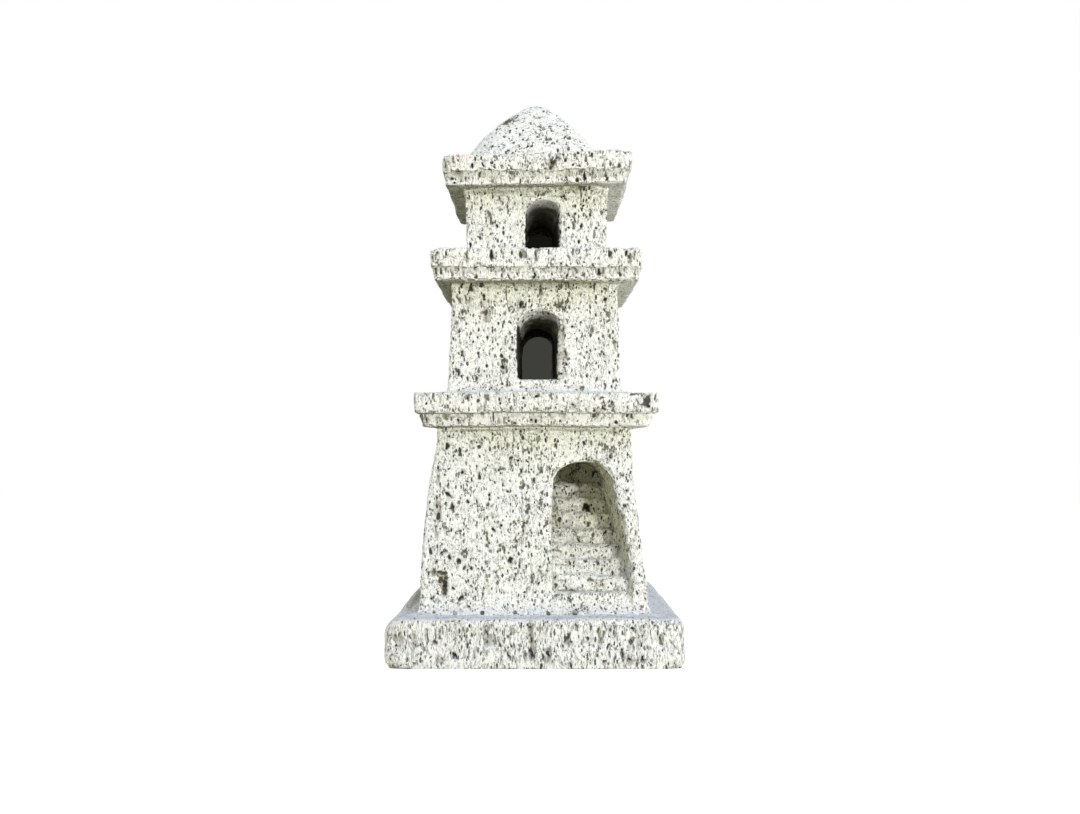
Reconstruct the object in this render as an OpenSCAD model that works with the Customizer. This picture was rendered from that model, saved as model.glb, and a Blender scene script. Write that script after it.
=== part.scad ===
// Miniature stepped stone tower on a square plinth, hand carved in porous white tuff.
// Three storeys stand on each other, each under a two-step cornice, with a dome cap on top.
// The stones are stacked: round stub tenons on the storeys locate in drilled rings and
// sockets, and every horizontal joint has a thin mortar bed.
// Frame: +Z up, origin in the middle of the plinth's underside, front face towards -Y.

/* [Plinth] */
// Side of the square plinth
plinth_w = 73; // [68:0.5:80]
// Thickness of the plinth
plinth_h = 12; // [9:0.5:16]
// Rounding of the plinth's worn edges
plinth_r = 2.6; // [1:0.2:3.5]

/* [Lower storey] */
// Side of the lower storey at its foot
s1_foot = 59.4; // [57:0.2:63]
// Side of the lower storey at its head
s1_head = 48.6; // [46:0.2:52]
// Height of the lower storey
s1_h = 46.6; // [44:0.2:52]

/* [Lower cornice] */
// Side of the thin lower band
c1_band_w = 57.4; // [54:0.2:60]
// Thickness of the band
c1_band_h = 3.0; // [2.6:0.1:4]
// Side of the slab on top of the band
c1_slab_w = 61; // [59:0.2:64]
// Thickness of the slab
c1_slab_h = 5.1; // [5:0.1:7]

/* [Middle storey] */
// Side of the middle storey at its foot
s2_foot = 45.4; // [43:0.2:48]
// Side of the middle storey at its head
s2_head = 42.6; // [40:0.2:45]
// Height of the middle storey
s2_h = 28.4; // [26:0.2:32]

/* [Middle cornice] */
// Side of the thin lower band
c2_band_w = 52.4; // [50:0.2:54]
// Thickness of the band
c2_band_h = 2.8; // [2.4:0.1:4]
// Side of the slab on top of the band
c2_slab_w = 53.6; // [52:0.2:56]
// Thickness of the slab
c2_slab_h = 4.7; // [4.6:0.1:7]

/* [Upper storey] */
// Side of the upper storey at its foot
s3_foot = 36.8; // [35:0.2:39]
// Side of the upper storey at its head
s3_head = 37.8; // [36:0.2:40]
// Height of the upper storey
s3_h = 17.0; // [16:0.2:20]

/* [Upper cornice] */
// Side of the thin lower band
c3_band_w = 46.6; // [44:0.2:48]
// Thickness of the band
c3_band_h = 2.8; // [2.4:0.1:4]
// Side of the slab on top of the band
c3_slab_w = 48.4; // [47:0.2:51]
// Thickness of the slab
c3_slab_h = 4.8; // [4.6:0.1:7]

/* [Dome cap] */
// Side of the dome cap's squarish foot
dome_w = 39; // [37:0.5:44]
// Height of the dome cap
dome_h = 19.8; // [16:0.2:24]

/* [Windows] */
// Width of the middle window at the front face
win2_front = 11.6; // [9.6:0.2:13]
// Width of the middle window at the back face
win2_back = 9.4; // [8:0.2:11]
// Height of the middle window from sill to crown
win2_h = 18.0; // [15:0.2:19]
// Height of the middle window's sill above the storey's foot
win2_sill = 3.6; // [3:0.1:4.4]
// Width of the upper window at the front face
win3_front = 9.2; // [8:0.2:11]
// Width of the upper window at the back face
win3_back = 7.8; // [7:0.2:9]
// Height of the upper window from sill to crown
win3_h = 13.2; // [11:0.2:14]
// Height of the upper window's sill above the storey's foot
win3_sill = 1.2; // [0.8:0.1:2]
// Sideways shift of the upper window at the front face
win3_shift = 1.8; // [0:0.2:3]

/* [Stair niche] */
// Left jamb of the stair niche, from the tower's axis
niche_x0 = 4.2; // [3:0.2:6]
// Right jamb of the niche at the springing of its arch
niche_x1 = 20.4; // [18:0.2:21]
// Right jamb of the niche at its foot
niche_x2 = 24.2; // [22:0.2:24.6]
// Height of the niche's floor above the plinth
niche_floor = 5.0; // [4.4:0.2:6]
// Number of steps in the flight
step_n = 7; // [5:1:8]
// Rise of one step
step_rise = 3.75; // [3:0.05:4]
// Going of one step
step_going = 3.9; // [3:0.1:4.2]

/* [Joints] */
// Thickness of a mortar bed
bed_t = 0.3; // [0.2:0.05:0.5]
// Distance of a bed's edge from the stone's edge
bed_inset = 1.0; // [0.6:0.1:2]
// Radius of the lower storey's tenons
t1_r = 11; // [9:0.5:12]
// Radius of the middle storey's tenons
t2_r = 9; // [7:0.5:10]
// Radius of the upper storey's and the dome's tenons
t3_r = 8; // [6:0.5:9]
// Play of a tenon in its hole, per side
t_play = 0.15; // [0.1:0.05:0.3]

/* [Hidden] */
$fn = 64;
stone = [0.90, 0.89, 0.85];
stone_warm = [0.88, 0.86, 0.80];
mortar = [0.74, 0.72, 0.66];

// Heights of the stones' undersides, from the table up
z_s1 = plinth_h + bed_t;
z_b1 = z_s1 + s1_h + bed_t;
z_c1 = z_b1 + c1_band_h + bed_t;
z_s2 = z_c1 + c1_slab_h + bed_t;
z_b2 = z_s2 + s2_h + bed_t;
z_c2 = z_b2 + c2_band_h + bed_t;
z_s3 = z_c2 + c2_slab_h + bed_t;
z_b3 = z_s3 + s3_h + bed_t;
z_c3 = z_b3 + c3_band_h + bed_t;
z_dome = z_c3 + c3_slab_h + bed_t;

// Depth of the tenon that a storey or the dome puts down into the stone below
foot_1 = 3.4;
foot_2 = 2.3;
foot_3 = 2.1;
// Length of the tenon that a storey puts up through a band and into the slab
head_1 = 2 * bed_t + c1_band_h + 2.2;
head_2 = 2 * bed_t + c2_band_h + 1.9;
head_3 = 2 * bed_t + c3_band_h + 2.0;

// The niche, measured from the table
niche_z0 = z_s1 + niche_floor;
niche_zs = 44.6;
niche_top = 50.4;
niche_back = 5.5;
face_foot = -(s1_foot / 2 - (s1_foot - s1_head) / 2 * niche_floor / s1_h);

// Square outline with round corners, centred
module round_square(a, b, r) {
    square([a, b - 2 * r], center = true);
    square([a - 2 * r, b], center = true);
    for (i = [-1, 1], j = [-1, 1])
        translate([i * (a / 2 - r), j * (b / 2 - r)]) circle(r);
}

// Square slab with worn vertical edges
module slab(w, h, r = 1.2) {
    linear_extrude(h) round_square(w, w, r);
}

// Square block whose four faces lean in or out
module leaning_block(foot, head, h) {
    side = [[-foot / 2, 0], [foot / 2, 0], [head / 2, h], [-head / 2, h]];
    m = max(foot, head) + 2;
    intersection() {
        rotate([90, 0, 0]) linear_extrude(m, center = true) polygon(side);
        rotate([90, 0, 90]) linear_extrude(m, center = true) polygon(side);
    }
}

// Upright slice of a round-headed opening, in the plane at depth y
module arch_slice(x, y, z, w, h) {
    translate([x, y, z]) rotate([90, 0, 0]) linear_extrude(0.01, center = true)
        union() {
            translate([-w / 2, 0]) square([w, h - w / 2]);
            translate([0, h - w / 2]) circle(w / 2, $fn = 32);
        }
}

// Round-headed opening from front to back, narrower at the back
module window_way(reach, z, front, back, h, shift) {
    hull() {
        arch_slice(shift, -reach, z, front, h);
        arch_slice(shift / 3, reach, z, back, h - (front - back) / 2);
    }
}

// Outline of the niche at the front, from the sill up, with its flat round arch
function niche_outline(x0, x1, x2, z0, zs, zt) = concat(
    [[x0, z0], [x2, z0]],
    [for (a = [0:15:180]) [(x0 + x1) / 2 + (x1 - x0) / 2 * cos(a), zs + (zt - zs) * sin(a)]]);

// The niche's room: it narrows towards its back, and in shrinks its sides, back and top
module niche_room(in = 0) {
    hull() {
        translate([0, -s1_foot / 2 - 1, 0]) rotate([90, 0, 0]) linear_extrude(0.01, center = true)
            polygon(niche_outline(niche_x0 - 0.1 + in, niche_x1 + 0.4 - in,
                niche_x2 + 0.3 - in, niche_z0, niche_zs, niche_top - in));
        translate([0, niche_back - in, 0]) rotate([90, 0, 0]) linear_extrude(0.01, center = true)
            polygon(niche_outline(niche_x0 + 0.6 + in, niche_x1 - 3.0 - in,
                niche_x2 - 4.2 - in, niche_z0, niche_zs, niche_top - 0.6 - in));
    }
}

// Thin mortar bed with a round hole for the tenon
module bed(w, z, hole, r = 1) {
    color(mortar) translate([0, 0, z]) difference() {
        linear_extrude(bed_t) round_square(w - 2 * bed_inset, w - 2 * bed_inset, r);
        if (hole > 0) translate([0, 0, -1]) cylinder(r = hole, h = 2 + bed_t);
    }
}

// Square slab drilled through for the tenons
module ring_slab(w, h, r, hole) {
    difference() {
        slab(w, h, r);
        translate([0, 0, -1]) cylinder(r = hole, h = h + 2);
    }
}

// Storey block with a tenon under its foot and one on its head
module storey(foot, head, h, r, down, up) {
    leaning_block(foot, head, h);
    translate([0, 0, -down]) cylinder(r = r, h = down + 1);
    translate([0, 0, h - 1]) cylinder(r = r, h = up + 1);
}

// Base slab, worn round on all its edges, with a blind socket for the tower
module plinth() {
    color(stone) difference() {
        intersection() {
            linear_extrude(plinth_h) round_square(plinth_w, plinth_w, plinth_r);
            translate([0, 0, plinth_h / 2]) rotate([90, 0, 0])
                linear_extrude(plinth_w + 2, center = true)
                    round_square(plinth_w, plinth_h, plinth_r);
            translate([0, 0, plinth_h / 2]) rotate([90, 0, 90])
                linear_extrude(plinth_w + 2, center = true)
                    round_square(plinth_w, plinth_h, plinth_r);
        }
        translate([0, 0, plinth_h - foot_1]) cylinder(r = t1_r + t_play, h = foot_1 + 1);
    }
}

module lower_storey_bed() { bed(s1_foot, plinth_h, t1_r + t_play); }

// Tall battered block with the stair niche cut into the right of its front
module lower_storey() {
    color(stone) difference() {
        translate([0, 0, z_s1]) storey(s1_foot, s1_head, s1_h, t1_r, foot_1, head_1);
        niche_room();
    }
}

// Mortar under the stair flight, on the niche's floor
module stair_flight_bed() {
    color(mortar) intersection() {
        niche_room(0.8);
        translate([0, face_foot + step_going + 1, niche_z0 - 1])
            cube([30, niche_back - face_foot - step_going - 2, 1 + bed_t]);
    }
}

// Side profile of the flight: it rises away from the front to a landing
function step_profile() = concat(
    [[niche_back + 1, bed_t], [face_foot + step_going, bed_t]],
    [for (i = [1:step_n], k = [0, 1])
        [i == step_n && k == 1 ? niche_back + 1 : face_foot + (i + k) * step_going, i * step_rise]]);

// One-piece flight of steps that fills the niche's lower part
module stair_flight() {
    color(stone_warm) intersection() {
        niche_room(0.12);
        translate([0, 0, niche_z0]) rotate([90, 0, 90])
            linear_extrude(niche_x2 + 4) polygon(step_profile());
    }
}

module lower_band_bed() { bed(s1_head, z_b1 - bed_t, t1_r + t_play); }

module lower_cornice_band() {
    color(stone_warm) translate([0, 0, z_b1]) ring_slab(c1_band_w, c1_band_h, 1.6, t1_r + t_play);
}

module lower_slab_bed() { bed(c1_band_w, z_c1 - bed_t, t1_r + t_play); }

module lower_cornice_slab() {
    color(stone) translate([0, 0, z_c1]) difference() {
        ring_slab(c1_slab_w, c1_slab_h, 1.6, t2_r + t_play);
        translate([0, 0, -1]) cylinder(r = t1_r + t_play, h = 1 + 2.4);
    }
}

module middle_storey_bed() { bed(s2_foot, z_s2 - bed_t, t2_r + t_play); }

// Block with a round-headed window through from front to back
module middle_storey() {
    color(stone) translate([0, 0, z_s2]) difference() {
        storey(s2_foot, s2_head, s2_h, t2_r, foot_2, head_2);
        window_way(s2_foot / 2 + 1, win2_sill, win2_front, win2_back, win2_h, 0.6);
    }
}

module middle_band_bed() { bed(s2_head, z_b2 - bed_t, t2_r + t_play); }

module middle_cornice_band() {
    color(stone_warm) translate([0, 0, z_b2]) ring_slab(c2_band_w, c2_band_h, 1.4, t2_r + t_play);
}

module middle_slab_bed() { bed(c2_band_w, z_c2 - bed_t, t2_r + t_play); }

module middle_cornice_slab() {
    color(stone) translate([0, 0, z_c2]) difference() {
        ring_slab(c2_slab_w, c2_slab_h, 1.4, t3_r + t_play);
        translate([0, 0, -1]) cylinder(r = t2_r + t_play, h = 1 + 2.1);
    }
}

module upper_storey_bed() { bed(s3_foot, z_s3 - bed_t, t3_r + t_play); }

// Small block with a round-headed window a little right of its middle
module upper_storey() {
    color(stone) translate([0, 0, z_s3]) difference() {
        storey(s3_foot, s3_head, s3_h, t3_r, foot_3, head_3);
        window_way(s3_head / 2 + 1, win3_sill, win3_front, win3_back, win3_h, win3_shift);
    }
}

module upper_band_bed() { bed(s3_head, z_b3 - bed_t, t3_r + t_play); }

module upper_cornice_band() {
    color(stone_warm) translate([0, 0, z_b3]) ring_slab(c3_band_w, c3_band_h, 1.4, t3_r + t_play);
}

module upper_slab_bed() { bed(c3_band_w, z_c3 - bed_t, t3_r + t_play); }

module upper_cornice_slab() {
    color(stone) translate([0, 0, z_c3]) ring_slab(c3_slab_w, c3_slab_h, 1.4, t3_r + t_play);
}

module dome_cap_bed() { bed(dome_w, z_dome - bed_t, t3_r + t_play, dome_w / 4); }

// Half width of the dome, as a share of its foot, at a share of its height
function dome_half(t) = pow(1 - pow(t, 1.15), 0.72);

// One level of the dome: squarish low down, rounder towards the crown
function dome_ring(t, n) = let (p = 5 - 2.6 * t, h = dome_w / 2 * dome_half(t))
    [for (k = [0:n - 1]) let (c = cos(360 * k / n), s = sin(360 * k / n),
        q = h * pow(pow(abs(c), p) + pow(abs(s), p), -1 / p)) [q * c, q * s, dome_h * t]];

// Squarish foot that closes to a round crown
module dome_cap() {
    n = 32;
    m = 13;
    levels = [for (i = [0:m - 1]) 1 - pow(1 - i / m, 1.6)];
    points = concat([for (t = levels) each dome_ring(t, n)], [[0, 0, dome_h]]);
    sides = [for (i = [0:m - 2], k = [0:n - 1])
        let (a = i * n + k, b = i * n + (k + 1) % n) each [[a, a + n, b + n], [a, b + n, b]]];
    crown = [for (k = [0:n - 1]) [(m - 1) * n + k, m * n, (m - 1) * n + (k + 1) % n]];
    color(stone) translate([0, 0, z_dome]) {
        polyhedron(points, concat([[for (k = [0:n - 1]) k]], sides, crown));
        translate([0, 0, -foot_3]) cylinder(r = t3_r, h = foot_3 + 1);
    }
}

plinth();
lower_storey_bed();
lower_storey();
stair_flight_bed();
stair_flight();
lower_band_bed();
lower_cornice_band();
lower_slab_bed();
lower_cornice_slab();
middle_storey_bed();
middle_storey();
middle_band_bed();
middle_cornice_band();
middle_slab_bed();
middle_cornice_slab();
upper_storey_bed();
upper_storey();
upper_band_bed();
upper_cornice_band();
upper_slab_bed();
upper_cornice_slab();
dome_cap_bed();
dome_cap();
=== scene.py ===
import math

import bpy
import numpy as np
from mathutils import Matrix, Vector, kdtree


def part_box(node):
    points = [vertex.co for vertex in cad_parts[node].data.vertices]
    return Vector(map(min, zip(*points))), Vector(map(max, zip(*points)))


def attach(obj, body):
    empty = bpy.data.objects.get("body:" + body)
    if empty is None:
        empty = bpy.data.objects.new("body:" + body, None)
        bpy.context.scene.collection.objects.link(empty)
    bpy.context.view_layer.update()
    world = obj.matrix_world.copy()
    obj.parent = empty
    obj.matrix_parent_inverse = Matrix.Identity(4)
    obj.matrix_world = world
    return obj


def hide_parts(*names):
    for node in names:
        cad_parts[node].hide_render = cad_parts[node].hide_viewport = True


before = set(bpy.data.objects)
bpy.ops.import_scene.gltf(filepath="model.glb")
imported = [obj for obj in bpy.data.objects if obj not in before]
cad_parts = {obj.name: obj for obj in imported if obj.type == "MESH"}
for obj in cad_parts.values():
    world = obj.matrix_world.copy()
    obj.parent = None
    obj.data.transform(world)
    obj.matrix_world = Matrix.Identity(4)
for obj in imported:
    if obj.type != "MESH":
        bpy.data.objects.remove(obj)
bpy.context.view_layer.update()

SCENE = bpy.context.scene
COLLECTION = SCENE.collection

# ---------------------------------------------------------------------------
# Picture geometry: a level camera in front of the tower, in millimetres.
# ---------------------------------------------------------------------------
IMAGE_W, IMAGE_H = 1080, 814
FOCAL_PX = 1000.0
VANISH = (537.0, 445.0)
EYE_Y, EYE_Z = -281.4, 54.6


def seen_at(px, py, y):
    """x and z of the picture point (px, py) on the upright plane at depth y."""
    s = (y - EYE_Y) / FOCAL_PX
    return (px - VANISH[0]) * s, EYE_Z - (py - VANISH[1]) * s


# ---------------------------------------------------------------------------
# Sizes of the stones, in millimetres, as the frame has them.
# ---------------------------------------------------------------------------
STOREYS = {
    "lower_storey": dict(foot=59.4, head=48.6, z0=12.3, z1=58.9, flare=2.7, reach=4.4, shade_reach=10.0, cove=2.2),
    "middle_storey": dict(foot=45.4, head=42.6, z0=67.9, z1=96.3, flare=2.2, reach=3.6, shade_reach=9.0, cove=2.4),
    "upper_storey": dict(foot=36.8, head=37.8, z0=104.7, z1=121.7, flare=1.4, reach=2.6, shade_reach=9.0, cove=2.1),
}
# windows: middle, mouth, sill, crown, how far the right reveal stands in, and where and how dark the painted shade
# inside them is
WINDOWS = {
    "middle_storey": {"x": 0.6, "w": 11.6, "z0": 71.5, "z1": 89.5, "in": 1.35, "full": 0.2, "drop": 1.3, "shade_free": 1.5, "bevel": 0.9, "tunnel_shade": 0.80},
    "upper_storey": {"x": 1.8, "w": 9.2, "z0": 105.9, "z1": 119.1, "in": 0.75, "full": 0.38, "drop": 1.0, "shade_free": 1.2, "bevel": 0.4, "tunnel_shade": 0.80},
}
SLABS = {
    "plinth": dict(w=73.0, z0=0.0, z1=12.0, below=66.0, above=59.4, foot=1.6),
    "lower_cornice_band": dict(w=57.4, z0=59.2, z1=62.2, below=48.6, above=57.4, cove=0.75, sweep=2.6),
    "lower_cornice_slab": dict(w=61.0, z0=62.5, z1=67.6, below=57.4, above=45.4, foot=1.3),
    "middle_cornice_band": dict(w=52.4, z0=96.6, z1=99.4, below=42.6, above=52.4, cove=0.4),
    "middle_cornice_slab": dict(w=53.6, z0=99.7, z1=104.4, below=52.4, above=36.8, foot=0.8),
    "upper_cornice_band": dict(w=46.6, z0=122.0, z1=124.8, below=37.8, above=46.6, cove=0.6),
    "upper_cornice_slab": dict(w=48.4, z0=125.1, z1=129.9, below=46.6, above=37.0, foot=0.0),
}
DOME_Z = 130.2


def front_plane(node, z):
    """Depth y of a stone's front face at height z."""
    if node in STOREYS:
        s = STOREYS[node]
        t = min(max((z - s["z0"]) / (s["z1"] - s["z0"]), 0.0), 1.0)
        return -(s["foot"] + (s["head"] - s["foot"]) * t) / 2
    return -SLABS[node]["w"] / 2


# ---------------------------------------------------------------------------
# Seeded lattice noise.
# ---------------------------------------------------------------------------
def lattice(i, j, k, seed):
    h = i * np.uint64(374761393) + j * np.uint64(668265263) + k * np.uint64(2147483647)
    h = (h + np.uint64(seed) * np.uint64(1274126177)) & np.uint64(0xFFFFFFFF)
    h = ((h ^ (h >> np.uint64(13))) * np.uint64(1274126177)) & np.uint64(0xFFFFFFFF)
    h = ((h ^ (h >> np.uint64(16))) * np.uint64(2246822519)) & np.uint64(0xFFFFFFFF)
    h = h ^ (h >> np.uint64(15))
    return (h & np.uint64(0xFFFFFF)).astype(np.float64) / float(0x800000) - 1.0


def noise(p, size, seed):
    """Smooth noise in -1..1. size is the feature size in millimetres, one number or three."""
    q = p / np.asarray(size, float) + 4096.0 + seed * 3.7
    c = np.floor(q)
    f = q - c
    u = f * f * f * (f * (f * 6 - 15) + 10)
    c = c.astype(np.uint64)
    out = np.zeros(len(p))
    one = np.uint64(1)
    for dx in (0, 1):
        wx = u[:, 0] if dx else 1 - u[:, 0]
        ix = c[:, 0] + one if dx else c[:, 0]
        for dy in (0, 1):
            wy = wx * (u[:, 1] if dy else 1 - u[:, 1])
            iy = c[:, 1] + one if dy else c[:, 1]
            for dz in (0, 1):
                w = wy * (u[:, 2] if dz else 1 - u[:, 2])
                iz = c[:, 2] + one if dz else c[:, 2]
                out += w * lattice(ix, iy, iz, seed)
    return out


def ramp(x, a, b):
    t = np.clip((x - a) / (b - a), 0.0, 1.0)
    return t * t * (3 - 2 * t)


def hump(x, a, b, c, d):
    return ramp(x, a, b) * (1 - ramp(x, c, d))


# ---------------------------------------------------------------------------
# One hand-made unevenness for the whole stack, so that joints stay closed.
# ---------------------------------------------------------------------------
# height, half width, and how far the left and right flanks stand out from true
TRUE = np.array([
    (0.0, 36.5, 0.0, 0.0), (12.15, 36.5, 0.0, 0.0),
    (12.3, 29.7, -0.20, -1.5), (20.0, 28.8, -0.45, -1.1), (26.0, 28.1, -0.50, -1.05), (36.0, 27.0, -1.05, -0.9),
    (42.0, 26.3, -1.20, -0.8), (50.0, 25.3, -1.10, -0.6), (59.0, 24.3, -1.45, 0.0),
    (59.2, 28.7, -0.60, 0.25), (62.3, 28.7, -0.60, 0.25), (62.5, 30.5, -0.62, 0.38), (67.7, 30.5, -0.62, 0.38),
    (67.9, 22.7, -0.85, -0.55), (82.0, 22.0, -0.60, -0.60), (96.4, 21.3, -0.95, -0.60),
    (96.6, 26.2, -0.45, 0.2), (99.5, 26.2, -0.45, 0.2), (99.7, 26.8, -0.45, 0.5), (104.5, 26.8, -0.45, 0.5),
    (104.7, 18.4, 0.0, 0.0), (121.8, 18.9, 0.0, 0.0),
    (122.0, 23.3, -0.35, 0.3), (124.9, 23.3, -0.35, 0.3), (125.1, 24.2, -0.40, 0.75), (130.0, 24.2, -0.40, 0.75),
    (130.3, 18.0, 0.0, 0.0), (151.0, 10.0, 0.0, 0.0),
])


def uneven(p):
    x, y, z = p[:, 0], p[:, 1], p[:, 2]
    rise = ramp(z, 0.5, 9.0)
    out = p.copy()
    for axis, amp in ((0, 0.34), (1, 0.34), (2, 0.16)):
        n = noise(p, 21.0, 11 + axis) + 0.4 * noise(p, 8.5, 21 + axis)
        out[:, axis] += amp * n * (rise if axis == 2 else 0.35 + 0.65 * rise)
    # the top cornice sits out of true, lower on its left
    out[:, 2] += 0.020 * x * ramp(z, 117.0, 124.0) * (1 - ramp(z, 131.0, 146.0))
    # the dome leans to the left low down
    out[:, 0] -= 0.95 * hump(z, 129.5, 132.5, 138.0, 149.0)
    out[:, 1] -= 0.25 * hump(z, 129.5, 132.5, 138.0, 149.0)
    # the plinth spreads at the lower left, the lower storey bellies out on the left
    out[:, 0] -= 1.15 * ramp(-x, 20.0, 36.0) * hump(z, -2.0, 1.5, 8.0, 12.0)
    out[:, 1] -= 1.6 * ramp(-y, 22.0, 35.0) * (1 - ramp(z, 1.0, 8.0))
    out[:, 0] -= 0.75 * ramp(-x, 12.0, 26.0) * hump(z, 14.0, 26.0, 44.0, 57.0)
    out[:, 0] += 0.30 * ramp(x, 12.0, 26.0) * hump(z, 16.0, 26.0, 40.0, 56.0)
    half, left, right = (np.interp(z, TRUE[:, 0], TRUE[:, k]) for k in (1, 2, 3))
    start = np.where((z > 12.2) & (z < 59.0), 0.80, 0.40)
    out[:, 0] += left * ramp(-x / half, 0.35, 0.97) + right * ramp((x / half - start) / (0.97 - start), 0.0, 1.0)
    return out


# ---------------------------------------------------------------------------
# Dense closed meshes from the frame's stones.
# ---------------------------------------------------------------------------
def take(mesh):
    co = np.empty(len(mesh.vertices) * 3, np.float32)
    mesh.vertices.foreach_get("co", co)
    return co.reshape(-1, 3).astype(np.float64) * 1000.0


def modified(mesh, set_up):
    ob = bpy.data.objects.new("work", mesh)
    COLLECTION.objects.link(ob)
    set_up(ob)
    graph = bpy.context.evaluated_depsgraph_get()
    made = bpy.data.meshes.new_from_object(ob.evaluated_get(graph), depsgraph=graph)
    bpy.data.objects.remove(ob)
    return made


def dense_mesh(node, voxel):
    def remesh(ob):
        m = ob.modifiers.new("voxels", "REMESH")
        m.mode, m.voxel_size, m.adaptivity = "VOXEL", voxel / 1000.0, 0.0

    return modified(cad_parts[node].data.copy(), remesh)


def thin_out(mesh, covered, keep):
    """Fewer faces where a neighbouring stone covers the surface."""
    total = len(mesh.polygons)
    loops = np.empty(len(mesh.loops), np.int32)
    mesh.loops.foreach_get("vertex_index", loops)
    starts = np.empty(total, np.int32)
    mesh.polygons.foreach_get("loop_start", starts)
    share = np.add.reduceat(covered[loops].astype(float), starts).sum() / len(loops)
    if share < 0.05:
        return mesh

    def decimate(ob):
        group = ob.vertex_groups.new(name="covered")
        group.add([int(i) for i in np.nonzero(covered)[0]], 1.0, "REPLACE")
        m = ob.modifiers.new("fewer", "DECIMATE")
        m.decimate_type, m.ratio = "COLLAPSE", 1 - share * (1 - keep)
        m.vertex_group, m.vertex_group_factor = "covered", 1000.0

    return modified(mesh, decimate)


def covered_part(node, p):
    r = np.maximum(np.abs(p[:, 0]), np.abs(p[:, 1]))
    z = p[:, 2]
    if node in STOREYS:
        s = STOREYS[node]
        return ((z < s["z0"] + 0.2) & (r < s["foot"] / 2 - 1.6)) | (
            (z > s["z1"] - 0.2) & (r < s["head"] / 2 - 1.6)
        )
    if node in SLABS:
        s = SLABS[node]
        bore = np.hypot(p[:, 0], p[:, 1]) < 11.6
        return (
            bore
            | ((z < s["z0"] + 0.2) & (r < s["below"] / 2 - 1.4))
            | ((z > s["z1"] - 0.2) & (r < s["above"] / 2 - 1.4))
        )
    if node == "dome_cap":
        return (z < DOME_Z + 0.15) & (r < 16.0)
    return np.zeros(len(p), bool)


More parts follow.
